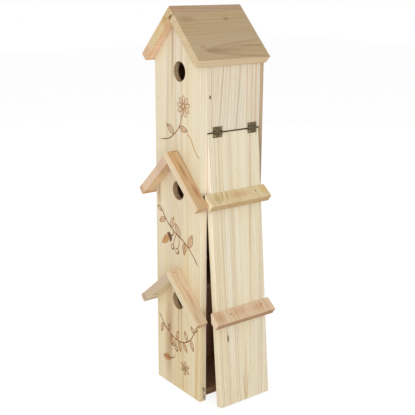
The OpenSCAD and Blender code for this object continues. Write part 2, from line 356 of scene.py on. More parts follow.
# %% [markdown]
# ## A board's own axes
# A pattern has to follow the board, not the room: Z along the grain, X across the board and Y
# into its face. A Mapping node set to Texture turns Object coordinates into such axes. Since a
# body carries its boards along, the pattern stays put when the door opens.

# %% A board's own axes
def axes(origin, along, inward):
    """A board's own frame: its origin in millimetres, and its turn as Euler angles."""
    z, y = Vector(along).normalized(), Vector(inward).normalized()
    return tuple(Vector(origin) * MM), tuple(Matrix((y.cross(z), y, z)).transposed().to_euler())


def board_place(t, board_axes):
    """Where a point lies in the board's axes, and which way its surface faces there."""
    origin, turn = board_axes
    spot = t.add("ShaderNodeTexCoord", out=None).outputs
    place = {"Vector": spot["Object"], "Location": origin, "Rotation": turn}
    facing = {"Vector": spot["Normal"], "Rotation": turn}
    return [t.add("ShaderNodeMapping", inputs, vector_type="TEXTURE") for inputs in (place, facing)]


upright = axes((0, 0, 0), (0, 0, 1), (0, 1, 0))[1]
print("an upright board is turned by", [round(math.degrees(a)) for a in upright])

# %% [markdown]
# ## Marks on a board
# Knots, flames and stains lie where this box has them, so each board lists its own; a few of the
# knots, flames and patches are painted shade or painted light instead, and say so where they are
# listed. A knot is painted in its own brown, with its rings. A flame or a patch only tints the wood
# under it, so the fibres still show. A patch ends at some depth, which keeps it on one edge of a
# board. Faces sawn another way, such as the end grain of a ledge, get a tint by the way they face,
# and so do faces given painted shade, such as the inner faces of the walls.

# %% Marks on a board
THROUGH = 1.0  # metres: knots and flames go right through any board
KNOT_SOFTNESS, FLAME_SOFTNESS, PATCH_SOFTNESS = 0.18, 0.75, 0.5  # how wide a mark fades out
KNOT_RING = (0.10, 0.045, 0.02, 1)


def knot_nodes(t, place, knots, flames):
    """Nodes for every knot and flame, and the swirl that the knots give to the rings near them."""
    swirl, marks = 0.0, []
    for x, z, half_w, half_l, shade, strength, *lean in [*knots, *flames]:
        made = t.use(knot, Place=place, Centre=mm(x, 0, z), Size=(half_w * MM, THROUGH, half_l * MM),
                     Softness=FLAME_SOFTNESS if lean else KNOT_SOFTNESS,
                     Lean=lean[0] if lean else 0.0)
        if not lean:
            swirl = t.math("ADD", swirl, t.math("MULTIPLY", made["Swirl"], half_w * MM * 0.7))
        marks.append((bool(lean), made, shade, strength))
    return swirl, marks


def paint_marks(t, colour, marks, latewood):
    """Lays knots and flames over the wood; a flame is strongest in the late wood."""
    for is_flame, made, shade, strength in marks:
        mask = t.math("MULTIPLY", made["Plug"], strength)
        if is_flame:
            mask = t.math("MULTIPLY", mask, t.ramp(latewood, 0.0, 0.8, 0.75, 1.0))
            colour = t.blend(mask, colour, shade, "MULTIPLY")
        else:
            ringed = t.blend(t.math("MULTIPLY", made["Plug Rings"], 0.5), shade, KNOT_RING)
            colour = t.blend(mask, colour, ringed)
    return colour


def paint_patches(t, colour, place, patches):
    for centre, half, shade in patches:
        made = t.use(knot, Place=place, Centre=mm(*centre), Size=mm(*half), Softness=PATCH_SOFTNESS)
        colour = t.blend(made["Plug"], colour, shade, "MULTIPLY")
    return colour


def paint_faces(t, colour, facing, faces):
    for outward, shade in faces:
        turned_to = t.ramp(t.vector("DOT_PRODUCT", facing, outward), 0.55, 0.9)
        colour = t.blend(turned_to, colour, (*shade, 1), "MULTIPLY")
    return colour


print("marks are drawn with the group:", knot.name)

# %% [markdown]
# ## Glue and burning
# Two more things can lie on a board. One that is glued up from staves takes its pith and its tint
# from the group of staves, and shows the glue as a thin brown line. The front board is burnt by a
# hot pen: first the wood turns tan, and then it chars. How burnt it is comes with the mesh, as a
# number at every point.

# %% Glue and burning
GLUE, SCORCHED = (0.42, 0.30, 0.18, 1), card(216, 160, 98)
CHAR_DARK, CHAR_PALE = card(66, 42, 32), card(122, 82, 60)


def pith_at(x, y, lean):
    """The pith's place in metres; lean is how far it drifts sideways for each length of the board."""
    return x * MM, y * MM, lean


def stave_nodes(t, place, joints, piths, tints):
    """The group of staves with this board's joints, piths and tints."""
    values = {f"Joint_{n}": x * MM for n, x in enumerate(joints, 1)}
    values |= {f"Pith_{n}": pith_at(*pith) for n, pith in enumerate(piths, 1)}
    values |= {f"Tint_{n}": tint for n, tint in enumerate(tints, 1)}
    return t.use(glued_staves, Place=place, **values)


def paint_burn(t, colour, rough, fibre):
    """Scorches and chars the wood where the mesh says that it is burnt."""
    burn = t.attribute("burn")
    scorch, char = t.ramp(burn, 0.02, 0.45), t.ramp(burn, 0.40, 0.95)
    colour = t.blend(t.math("MULTIPLY", scorch, 0.8), colour, SCORCHED, "MULTIPLY")
    colour = t.blend(t.math("MULTIPLY", char, 0.92), colour, t.blend(fibre, CHAR_DARK, CHAR_PALE))
    return colour, t.math("ADD", rough, t.math("MULTIPLY", char, 0.2))


print("char at its darkest:", [round(c, 3) for c in CHAR_DARK])

# %% [markdown]
# ## The pine itself
# With the groups and the painters at hand, a board's material is a short recipe: find the place
# in the board, lay out its rings and fibres, turn them into timber, and paint on what is special
# to this board. The shader stays here, because a group only hands out colours and masks.

# %% The pine itself
def pine(name, board_axes, early, late, pith=(0, 90, 0), ring=5.0, taper=0.012, wave=4.0, seed=0.0,
         staves=None, knots=(), flames=(), patches=(), faces=(), burnt=False):
    """Solid pine seen in one board's axes. Lengths are in millimetres.

    pith is (x, y, sideways lean); knots are (x, z, half width, half length, colour, strength);
    flames add a lean; patches are (centre, half sizes, tint) and reach only so deep into the board;
    faces are (direction in the board's axes, tint) for faces of another tone."""
    material, t = new_material(name)
    place, facing = board_place(t, board_axes)
    swirl, marks = knot_nodes(t, place, knots, flames)
    stave = stave_nodes(t, place, *staves) if staves else None
    rings = t.use(growth_rings, Place=place, Pith=stave["Pith"] if staves else pith_at(*pith),
                  Ring_Width=ring * MM, Taper=taper, Wave=wave * MM, Swirl=swirl, Seed=seed)
    grain = t.use(fibres, Place=place, Seed=seed)
    end_grain = t.ramp(t.math("ABSOLUTE", t.split(facing)["Z"]), 0.70, 0.95)
    wood = t.use(timber, Early=early, Late=late, Latewood=rings["Latewood"], Ring_Tone=rings["Ring Tone"],
                 Fibre=grain["Fibre"], Canal=grain["Canal"], Cloud=grain["Cloud"], Streak=grain["Streak"],
                 End_Grain=end_grain, Edge=t.attribute("edge"))
    colour, rough = wood["Color"], wood["Roughness"]
    if staves:
        colour = t.blend(1.0, colour, stave["Tint"], "MULTIPLY")
        colour = t.blend(t.math("MULTIPLY", stave["Glue"], 0.25), colour, GLUE)
    colour = paint_faces(t, colour, facing, faces)
    colour = paint_marks(t, colour, marks, rings["Latewood"])
    colour = paint_patches(t, colour, place, patches)
    if burnt:
        colour, rough = paint_burn(t, colour, rough, grain["Fibre"])
    bump = t.add("ShaderNodeBump", {"Strength": 0.35, "Distance": 0.0003, "Height": wood["Height"]})
    t.surface(t.add("ShaderNodeBsdfPrincipled", {"Base Color": colour, "Roughness": rough,
                                                 "Specular IOR Level": 0.35, "Normal": bump}))
    return material


print("groups ready for the pine:", [tree.name for tree in bpy.data.node_groups])

# %% [markdown]
# ## Boards with broken edges
# A CAD board has knife edges. A real one has had its edges sanded by a fraction of a millimetre,
# and that thin band catches the light. Most boards here are plain convex shapes, so the clean way
# is to wrap their corners in a convex hull, join the flat faces and bevel every edge. The hull
# also closes the small screw holes, which the screws fill anyway.

# %% Boards with broken edges
def dress(piece, body, replaced=()):
    """Lets a piece ride on its body and stand for its CAD nodes."""
    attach(piece, body)
    if replaced:
        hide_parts(*replaced)
    return piece


def finish_mesh(name, bm, materials, body, replaced):
    """Turns a bmesh into a finished piece."""
    bmesh.ops.triangulate(bm, faces=[f for f in bm.faces if len(f.verts) > 4])
    mesh = bpy.data.meshes.new(name)
    bm.to_mesh(mesh)
    bm.free()
    for material in materials:
        mesh.materials.append(material)
    return dress(new_object(name, mesh), body, replaced)


def join_flat_faces(bm):
    bmesh.ops.dissolve_limit(bm, angle_limit=math.radians(1.0), verts=bm.verts, edges=bm.edges)


def hull_of(node):
    """The convex hull of a CAD node, with its flat faces joined."""
    bm = bmesh.new()
    spots = {tuple(round(c, 7) for c in v.co) for v in nodes[node].data.vertices}
    made = bmesh.ops.convex_hull(bm, input=[bm.verts.new(s) for s in sorted(spots)])
    spare = dict.fromkeys(made["geom_interior"] + made["geom_unused"])  # each one once, in order
    bmesh.ops.delete(bm, geom=[g for g in spare if isinstance(g, bmesh.types.BMVert)], context="VERTS")
    join_flat_faces(bm)
    bmesh.ops.recalc_face_normals(bm, faces=bm.faces)
    return bm


def eased_board(node, material, arris=0.7, sanded=0.0):
    """A board as it leaves the sander; arris is the width of the broken edge and sanded how much
    was rubbed off its faces, both in millimetres."""
    bm = hull_of(node)
    bm.normal_update()
    for corner, outward in [(v, v.normal.copy()) for v in bm.verts]:
        corner.co -= outward * (sanded * math.sqrt(3) * MM)
    edge = bm.faces.layers.float.new("edge")
    made = bmesh.ops.bevel(bm, geom=list(bm.edges), offset=arris * MM, offset_type="OFFSET", segments=2,
                           profile=0.5, affect="EDGES", clamp_overlap=True)
    for face in made["faces"]:
        face[edge] = 1.0
        face.smooth = True
    return finish_mesh(node + "_planed", bm, [material], body_of_node[node], [node])


test_hull = hull_of("door_panel")
print("the door's hull:", len(test_hull.verts), "corners")
test_hull.free()

# %% [markdown]
# ## Where each board's axes lie
# No two boards of such a box match, so each wall and roof board gets axes of its own. A wall's
# origin lies in the middle of its thickness, and the roofs' origins on their ridge. The grain of
# the walls stands upright, and that of the main roof runs from front to back. The small roofs and
# the ledges have their grain down the slope, so a ledge's outer face shows end grain.

# %% Axes of the boards
cos45 = math.sqrt(0.5)
HINGE = (65.3, 0.0, 463.0)
SMALL_RIDGES = {"lower": ((5.0, 226.0), (84.5, 154.5)), "upper": ((0.0, 427.0), (84.5, 350.5))}  # ridge, tip
door_up = (-math.sin(ajar), 0, math.cos(ajar))  # along the open door, towards the hinge
door_in = (-math.cos(ajar), 0, -math.sin(ajar))

front_axes = axes((0, -56.5, 0), (0, 0, 1), (0, 1, 0))
back_axes = axes((0, 59.5, 0), (0, 0, 1), (0, -1, 0))
left_axes = axes((-57, 0, 0), (0, 0, 1), (1, 0, 0))
panel_axes = axes((57, 0, 0), (0, 0, 1), (-1, 0, 0))
door_axes = axes((HINGE[0] - 8.3, 0, HINGE[2]), door_up, door_in)
floor_axes = axes((0, 0, 0), (1, 0, 0), (0, 0, -1))
roof_right_axes = axes((0, 0, 655), (0, 1, 0), (-cos45, 0, -cos45))
roof_left_axes = axes((0, 0, 655), (0, 1, 0), (cos45, 0, -cos45))


def slope_axes(which, side, on_door=False):
    """Axes of a small roof or a ledge: the grain runs down the slope; side is -1 left, 1 right."""
    (ridge_x, ridge_z), (tip_x, tip_z) = SMALL_RIDGES[which]
    down = Vector((side * tip_x - ridge_x, 0, tip_z - ridge_z)).normalized()
    into = Vector((down.z, 0, -down.x)) * side
    origin = Vector((ridge_x, 0, ridge_z))
    if on_door:
        swing = Matrix.Rotation(-ajar, 3, "Y")
        origin = swing @ (origin - Vector(HINGE)) + Vector(HINGE)
        down, into = swing @ down, swing @ into
    return axes(origin, down, into)


print("upper small roof's axes start at", slope_axes("upper", 1)[0])

# %% [markdown]
# ## Pine for the front board
# The walls are pale sapwood with tight rings. The front is glued up from three staves, so its
# stripes run to three piths. Its flames are the dark streaks of this very box, and one broad
# pale flame lightens its foot. Two patches are painted light on its edge beside the door, which
# the door shades, and one small dark knot on that edge is painted shade in the corner under the
# upper small roof's tip. Inside its holes the wood is browner, because a hole saw rubs and heats it.

# %% Pine for the front board
CREAM, STRIPE = card(233, 220, 193), card(196, 170, 133)
PLAIN = (1.0, 1.0, 1.0, 1.0)
INSIDE_SHADE = ((0, 1, 0), (0.63, 0.43, 0.44))  # painted shade: the inner face of a wall board is darkened and reddened for the shade inside the box
knot_brown, knot_red = card(124, 84, 58), card(150, 92, 66)
flame_tan, flame_brown, flame_dark = card(226, 196, 158), card(196, 160, 126), card(170, 132, 104)

front_pine = pine(
    "front_pine", front_axes, card(233, 222, 200), card(192, 166, 138), ring=3.3, wave=3.0, seed=1.7,
    # painted shade: the knot at 63.2, 357 on the board's edge is a dark spot for the shade in the corner
    # under the upper small roof's tip
    taper=0.006, burnt=True, faces=[INSIDE_SHADE], knots=[(63.2, 357, 1.4, 5.5, card(92, 64, 40), 0.95)],
    staves=((-32.0, 15.0), [(-150, 40, 0.01), (90, 60, -0.015), (170, 40, 0.0)],
            [PLAIN, (0.95, 0.935, 0.93, 1), (1.0, 0.995, 0.975, 1)]),
    flames=[(-12, 590, 3.5, 62, flame_brown, 0.7, 0.02), (-27, 95, 10, 75, flame_brown, 0.7, 0.05),
            (-54, 345, 4, 18, flame_brown, 0.9, 0.0), (-28.5, 490, 1.2, 70, flame_brown, 0.6, 0.03),
            (-4, 500, 1.3, 90, flame_tan, 0.6, 0.0), (13, 500, 1.4, 110, flame_tan, 0.5, 0.0),
            (1, 130, 1.6, 60, flame_brown, 0.6, 0.02), (9, 140, 1.8, 70, flame_brown, 0.6, -0.02),
            (15, 30, 1.3, 60, flame_brown, 0.5, 0.0), (54, 60, 2.2, 130, flame_tan, 0.7, 0.03),
            (0, 70, 90, 230, card(250, 244, 226), 1.0, 0.0),
            (-26, 60, 6, 28, card(240, 230, 222), 1.0, 0.05)],
    # painted light: these two patches lighten the board's edge beside the door, where the door shades it
    patches=[((63, 6.5, 230), (4, 4.5, 400), (1.13, 1.08, 1.22, 1)),
             ((63, 6.5, 440), (4, 4.5, 150), (1.02, 1.07, 1.05, 1))])
hole_pine = pine("hole_pine", front_axes, card(204, 180, 150), card(96, 66, 44), pith=(0, 200, 0), ring=2.4,
                 wave=3.0, seed=1.7)
print("front pines:", front_pine.name, hole_pine.name)

# %% [markdown]
# ## Pine for the other walls
# The panel and the door are glued up as well, and carry many thin streaks. The door has a paler
# band along its front edge, which is a painted highlight, and its sawn end by the hinges is darker,
# partly as end grain and partly as painted shade in the gap under the panel. The back and the left
# side are plainer boards whose inner faces are darkened as painted shade, and the back board's edge
# below the hinges carries a painted shadow of the door. The floors are of a darker wood.

# %% Pine for the other walls
back_pine = pine(
    "back_pine", back_axes, card(224, 206, 174), card(182, 152, 114), pith=(20, 80, 0), ring=4.6, seed=8.2,
    knots=[(24, 220, 5, 6.5, knot_brown, 0.9), (-30, 470, 3.5, 5, knot_red, 0.9)],
    # painted shadow: this flame darkens the back board's edge below the hinges, where the open door shades it
    flames=[(-63, 405, 1.2, 52, card(150, 134, 126), 0.55, 0.0)],
    faces=[((-1, 0, 0), (0.72, 0.66, 0.66)), INSIDE_SHADE])
left_pine = pine(
    "left_pine", left_axes, CREAM, STRIPE, pith=(-15, 90, 0), ring=4.6, seed=4.4,
    knots=[(18, 300, 4, 6, knot_brown, 0.9)], faces=[INSIDE_SHADE])
panel_pine = pine(
    "panel_pine", panel_axes, card(232, 222, 205), card(192, 170, 146), ring=3.4, wave=2.0, seed=3.1,
    staves=((-30.0, 33.0), [(-160, 40, 0.0), (-140, 60, 0.08), (170, 40, 0.01)],
            [PLAIN, PLAIN, (0.985, 0.97, 0.955, 1)]),
    knots=[(-45, 518.6, 1.9, 3.0, knot_brown, 0.95)],
    flames=[(-22.5, 520, 0.9, 75, flame_dark, 0.75, 0.08), (12, 520, 0.9, 75, flame_dark, 0.5, 0.08),
            (29, 520, 1.2, 90, flame_tan, 0.8, 0.0), (39, 520, 1.4, 120, flame_brown, 0.4, 0.0),
            (47, 520, 1.2, 120, flame_tan, 0.8, 0.0), (60, 520, 1.6, 130, flame_brown, 0.8, 0.0)])
door_pine = pine(
    "door_pine", door_axes, card(235, 225, 202), card(201, 180, 149), ring=3.2, wave=2.5, seed=6.3,
    # painted shade: the door's top end, by the hinges, is darkened for the shade in the gap under the panel
    taper=0.004, faces=[((0, 0, 1), (0.80, 0.74, 0.68))], knots=[(-28, -345, 1.8, 6.5, knot_brown, 0.85)],
    staves=((-5.0, 26.0), [(-170, 40, 0.0), (60, 210, 0.0), (190, 60, 0.05)],
            [(0.985, 0.975, 0.965, 1), PLAIN, (0.99, 0.985, 0.985, 1)]),
    flames=[(-39.5, -190, 1.0, 300, flame_brown, 0.3, 0.01), (-31, -250, 1.2, 240, flame_brown, 0.28, 0.0),
            (-24, -120, 1.0, 190, flame_tan, 0.5, 0.0), (-12.8, -300, 1.2, 220, flame_brown, 0.32, 0.0),
            (-6.5, -150, 1.0, 240, flame_tan, 0.35, 0.0), (27, -190, 1.5, 280, flame_tan, 0.5, 0.05),
            (46, -300, 1.4, 200, flame_brown, 0.4, 0.045), (6, -430, 3.0, 50, flame_tan, 0.6, 0.04),
            (2, -442, 1.4, 26, flame_brown, 0.5, -0.06), (10, -434, 1.2, 22, flame_brown, 0.4, 0.16)],
    # painted highlight: this patch lightens the door's front edge where light catches it
    patches=[((-49.5, -6, -60), (2.2, 9, 200), (1.14, 1.14, 1.18, 1))])
floor_pine = pine("floor_pine", floor_axes, card(178, 146, 118), card(132, 100, 74), pith=(0, 60, 0),
                  seed=5.0)
print("wall pines:", [m.name for m in (back_pine, left_pine, panel_pine, door_pine, floor_pine)])

# %% [markdown]
# ## Pine for the main roof
# The roof is a browner pair of boards, darkest on top and at the ridge. Their front ends show end
# grain. The right board has a faint knot and some reddish flames. The left one's front end has
# reddish, pale and brown marks between the ridge and the eave. Those are short flames and patches,
# so they don't reach along the board.

# %% Pine for the main roof
ROOF_PALE, ROOF_TOP, ROOF_RIDGE = card(229, 215, 186), (0.64, 0.555, 0.475), (0.56, 0.48, 0.44)
roof_rose, roof_pink = card(206, 182, 158), card(220, 184, 166)
FRONT_END = -79  # millimetres along the grain: the ends of the roof boards

roof_pine = pine(
    "roof_pine", roof_right_axes, ROOF_PALE, card(209, 189, 159), pith=(92, 47.5, 0), ring=2.7, wave=5.0,
    seed=2.6, taper=-0.03, knots=[(30, 17, 3.2, 4.5, card(150, 116, 92), 0.6)],
    flames=[(92, -20, 3, 40, roof_rose, 0.5, 0.0), (86, 40, 2, 35, roof_rose, 0.7, 0.03),
            (10, -50, 6, 24, roof_pink, 0.8, 0.0), (28, -60, 5, 14, roof_pink, 0.6, 0.0),
            (84, -56, 3, 5, card(200, 170, 140), 0.5, 0.0),
            (15.6, -78.4, 1.7, 2.0, card(120, 88, 56), 1.0, 0.0),
            (4, -78.5, 2.0, 1.6, card(190, 160, 110), 0.8, 0.0)],
    faces=[((0, -1, 0), ROOF_TOP), ((1, 0, 0), (0.92, 0.83, 0.74)), ((0, 0, -1), (0.93, 0.91, 0.90))])
roof_left_pine = pine(
    "roof_left_pine", roof_left_axes, card(240, 220, 190), card(210, 174, 134), pith=(-40, 60, 0), ring=3.6,
    seed=9.4, taper=0.03,
    flames=[(-101, FRONT_END, 13, 6, card(248, 214, 200), 0.7, 0.0),
            (-60, FRONT_END, 30, 6, card(246, 236, 206), 0.8, 0.0),
            (-26, -78.6, 8, 3, card(236, 214, 176), 0.9, 0.0)],
    patches=[((-9, 7, FRONT_END), (17, 10, 4), card(234, 224, 204)),
             ((-9.7, 13.6, FRONT_END), (5, 2.2, 3), card(172, 142, 108))],
    faces=[((0, -1, 0), ROOF_TOP), ((1, 0, 0), ROOF_RIDGE), ((0, 1, 0), (1.0, 0.88, 0.87)),
           ((0, 0, -1), (0.94, 1.0, 1.1))])
print("roof pines:", roof_pine.name, roof_left_pine.name)

# %% [markdown]
# ## Pine for the small roofs and the ledges
# These come from redder offcuts. The four roof boards share one recipe, so a loop makes their
# materials, each with its own tints and marks; on the upper right one, a dark flame along the
# joint with the front board is painted shade. The front edge of a door ledge is paler, and the end
# grain at its lower end is darker, partly as end grain and partly as painted shade, since that end
# faces down. The ledges on the left share the small roofs' pine.

# %% Pine for the small roofs and the ledges
UPPER_ROOF = card(234, 214, 184), card(204, 164, 122)
LOWER_ROOF = card(232, 213, 184), card(204, 170, 134)
OFFCUTS = {  # name and side: early and late wood; tints of the top, front and underside; flames
    ("upper", 1): (UPPER_ROOF, (0.75, 0.64, 0.53), (0.95, 0.95, 1.0), (1.0, 0.94, 0.9), [
        # painted shade: the first dark flame lines the crease where this arm meets the front board
        (63.2, 26, 1.0, 36, card(100, 78, 62), 0.95, 0.0), (70, 0, 4, 2.5, card(170, 110, 84), 0.9, 0.0),
        (74, 40, 3, 16, card(206, 172, 150), 0.7, 0.05), (70, 82, 4, 12, card(214, 170, 150), 0.8, 0.0)]),
    ("upper", -1): (UPPER_ROOF, (0.75, 0.64, 0.53), (0.90, 0.83, 0.89), (1.0, 0.93, 0.87), [
        (-74, 30, 14, 22, card(226, 214, 214), 0.7, 0.0), (-74, 108, 14, 5, card(214, 176, 140), 0.8, 0.0)]),
    ("lower", 1): (LOWER_ROOF, (0.88, 0.85, 0.86), (0.95, 0.98, 1.0), (1.0, 1.0, 1.0), [
        (72, 60, 3, 20, card(226, 196, 172), 0.7, 0.05), (78, 95, 3, 10, card(226, 200, 176), 0.6, 0.0)]),
    ("lower", -1): (LOWER_ROOF, (0.88, 0.83, 0.82), (0.76, 0.73, 0.77), (1.0, 1.08, 1.12), [
        (-76, 82, 5, 4, card(168, 140, 120), 0.8, 0.4), (-72, 106, 14, 3.5, card(178, 140, 120), 0.8, 0.0)])}
SAWN_END = (0.84, 0.74, 0.68)
small_roof_pines = {}
for (which, side), (wood, top, front, under, marks) in OFFCUTS.items():
    small_roof_pines[which, side] = pine(
        f"{which}_small_roof_pine_{'left' if side < 0 else 'right'}", slope_axes(which, side), *wood,
        pith=(60 * side, 50, 0), ring=3.2, seed=3.3 + side + len(which), flames=marks,
        faces=[((0, -1, 0), top), ((side, 0, 0), front), ((0, 0, 1), SAWN_END), ((0, 1, 0), under)])

ledge_upper = pine(
    "upper_ledge_pine", slope_axes("upper", 1, True), card(221, 203, 165), card(204, 184, 144),
    pith=(60, 45, 0.1), ring=3.6, seed=7.7, knots=[(-37, 97, 1.3, 1.6, knot_brown, 0.9)],
    flames=[(43, 99, 7, 9, card(222, 210, 172), 0.9, 0.3), (22, 96, 2, 8, card(206, 186, 150), 0.8, 0.4),
            (32, 96, 1.6, 9, card(196, 178, 138), 0.8, 0.4), (-2, 98, 18, 6, card(240, 216, 206), 0.85, 0.0),
            (-52, 96, 7, 7, card(250, 242, 192), 1.0, 0.0)],
    # painted shade, in part: the lower end face is darkened beyond its end grain because it faces down
    faces=[((0, 0, 1), (0.89, 0.80, 0.75)), ((1, 0, 0), (1.30, 1.38, 1.52))])
ledge_lower = pine(
    "lower_ledge_pine", slope_axes("lower", 1, True), card(220, 194, 164), card(200, 168, 136),
    pith=(52, 50, 0.1), ring=3.6, seed=2.9,
    knots=[(26, 91, 1.5, 2.0, knot_brown, 0.6), (-40, 89, 1.8, 1.8, knot_brown, 0.7)],
    flames=[(48, 92, 8, 9, card(226, 206, 186), 0.8, 0.0), (10, 90, 12, 7, card(238, 212, 196), 0.8, 0.0),
            (-30, 92, 10, 6, card(232, 208, 190), 0.7, 0.0)],
    # painted shade, in part: the lower end face is darkened beyond its end grain because it faces down
    faces=[((0, 0, 1), (0.72, 0.63, 0.58)), ((1, 0, 0), (1.18, 1.34, 1.58))])
print("small pines:", [m.name for m in (*small_roof_pines.values(), ledge_upper, ledge_lower)])

# %% [markdown]
# ## Burnt lines
# The front carries a drawing in burnt lines. A burning pen makes lines of even width with a soft
# scorched rim, so every line is kept as a path, a width and a strength, and every shaded area as
# a closed path and a strength. A few points and a smooth spline through them give the hand-drawn
# flow, where straight pieces would look like a stencil.

# %% Burnt lines
strokes, washes = [], []  # (path, width, strength) and (closed path, strength); millimetres


def smooth_path(points, step=0.7):
    """A smooth line through the given points, sampled at an even step, in millimetres."""
    p = np.array(points, float)
    p = np.vstack([2 * p[0] - p[1], p, 2 * p[-1] - p[-2]])
    t = np.linspace(0, 1, 20, endpoint=False)[:, None]
    parts = []
    for a, b, c, d in zip(p[:-3], p[1:-2], p[2:-1], p[3:]):
        bent, twisted = 2 * a - 5 * b + 4 * c - d, 3 * b - a - 3 * c + d
        parts.append(0.5 * (2 * b + (c - a) * t + bent * t**2 + twisted * t**3))
    line = np.vstack(parts + [p[-2:-1]])
    run = np.concatenate([[0], np.cumsum(np.linalg.norm(np.diff(line, axis=0), axis=1))])
    even = np.linspace(0, run[-1], max(2, int(run[-1] / step) + 1))
    return np.stack([np.interp(even, run, line[:, k]) for k in (0, 1)], 1)


def stroke(points, width, strength=1.0, step=0.7):
    strokes.append((smooth_path(points, step), width, strength))


def wash(outline, strength):
    washes.append((smooth_path(outline, 0.6), strength))


print("a bent line of three points gets", len(smooth_path([(0, 0), (10, 4), (20, 0)])), "samples")

# %% [markdown]
# ## Leaf, berry and flower
# The drawing repeats three small things, so each is a function. A leaf is two arched sides round
# a bent midrib, with slanting veins. A berry is a ring with a darker side. A daisy is a small
# heart with a loop for each petal.

# %% Leaf, berry and flower
PETAL = [(0.24, -0.02), (0.6, -0.17), (0.92, -0.13), (1.0, 0.0), (0.92, 0.13), (0.6, 0.17), (0.24, 0.02)]
PETAL_VEIN = [(0.4, 0.02), (0.62, 0.03), (0.8, 0.02)]
LEAF_SIDE, LEAF_RIB, LEAF_VEIN, LEAF_STRENGTH = 1.15, 0.9, 0.65, 0.95  # widths in millimetres, strength


def leaf(base, angle, length, width, veins=3, washed=0.0):
    """A leaf from its base, at an angle in degrees, with a tan wash if it is asked for."""
    a = math.radians(angle)
    along, side = np.array([math.cos(a), math.sin(a)]), np.array([-math.sin(a), math.cos(a)])
    base = np.array(base, float)
    t = np.linspace(0, 1, 9)
    bulge = np.sin(math.pi * t**0.85) * width / 2

    def at(u, off):
        return base + along * length * u + side * (off + 0.06 * length * u * u)

    for s in (-1, 1):
        stroke([at(u, s * b) for u, b in zip(t, bulge)], LEAF_SIDE, LEAF_STRENGTH)
    stroke([at(u, 0) for u in (0, 0.3, 0.6, 0.88)], LEAF_RIB, LEAF_STRENGTH * 0.85)
    if washed:
        there = [at(u, b) for u, b in zip(t, bulge)]
        wash(there + [at(u, -b) for u, b in zip(t[::-1], bulge[::-1])], washed)
    for u in np.linspace(0.22, 0.66, veins):
        reach = np.sin(math.pi * (u + 0.14) ** 0.85) * width / 2 * 0.72
        for s in (-1, 1):
            vein = [at(u, 0), at(u + 0.08, s * reach * 0.55), at(u + 0.14, s * reach)]
            stroke(vein, LEAF_VEIN, LEAF_STRENGTH * 0.7)


def berry(centre, radius, strength=1.0):
    c = np.array(centre, float)
    for size, start, end, count, width, weight in (
            (1.0, 0, 2 * math.pi, 13, 1.2, 1.0), (0.66, -1.5, 0.5, 6, 1.4, 1.0),
            (0.36, -1.3, 0.3, 4, 0.7, 0.45)):
        turns = np.linspace(start, end, count)
        arc = [c + radius * size * np.array([math.cos(v), math.sin(v)]) for v in turns]
        stroke(arc, width, strength * weight, 0.5)


def flower(centre, radius, petals, tilt=0.0, strength=0.95):
    c = np.array(centre, float)
    berry(centre, radius * 0.2, strength)
    for k in range(petals):
        a = tilt + 2 * math.pi * k / petals
        turn = np.array([[math.cos(a), math.sin(a)], [-math.sin(a), math.cos(a)]])
        for shape, width, weight in ((PETAL, 1.1, 1.0), (PETAL_VEIN, 0.7, 0.6)):
            stroke([c + radius * (np.array(q) @ turn) for q in shape], width, strength * weight)


print("a petal has", len(PETAL), "points")

# %% [markdown]
# ## The drawing
# It is a plain botanical one, in three parts, as tall as the three storeys: a daisy on a bent
# stem, a fruiting branch, and a garland with a fallen leaf and a small flower. Points are
# millimetres on the front board, x to the right and z up from its foot.

# %% The drawing
# a daisy on a bent stem, under the top hole
flower((17, 500), 17, 9, 0.2, 0.8)
stroke([(11.4, 483), (8, 471), (-3, 457), (-22, 444), (-36, 440)], 1.6, 0.95)
leaf((5, 466), -14, 23, 9, washed=0.2)
leaf((-9, 453), 146, 25, 10)
stroke([(28, 458), (38, 449), (47, 434), (58, 424)], 2.4, 0.45)
# a fruiting branch between the middle hole and the lower small roof
stroke([(54, 246), (38, 262), (16, 276), (-8, 285), (-32, 300), (-48, 318)], 1.9)
for base, angle, length, width, veins, washed in (
        ((30, 268), 62, 27, 12, 4, 0.22), ((6, 280), 118, 25, 11, 4, 0.0),
        ((-20, 291), 64, 22, 10, 3, 0.0), ((20, 274), -98, 22, 10, 3, 0.3),
        ((-46, 315), 152, 15, 7, 2, 0.0), ((-36, 303), -160, 20, 9, 3, 0.2)):
    leaf(base, angle, length, width, veins, washed=washed)
stroke([(-4, 284), (-10, 272), (-14, 262)], 1.2)
stroke([(2, 282), (4, 270), (-1, 258)], 1.2)
berry((-15, 258), 4.2)
berry((-2, 253.5), 4.6)
nut = [(-30, 276), (-37, 274), (-43, 267), (-47, 258), (-38, 259), (-29, 264), (-25, 271)]
cap = [(-31, 279), (-25, 281), (-19, 277), (-18, 271), (-22, 266), (-25, 271), (-29, 276)]
wash(nut + nut[:1], 0.5)
wash(cap + cap[:1], 1.0)
stroke([(-19, 276), (-14, 280), (-11, 286)], 1.7)
for k in range(3):
    stroke([(-34 - k, 273 - 2.6 * k), (-38 - k, 266 - 1.6 * k)], 0.6, 0.8)
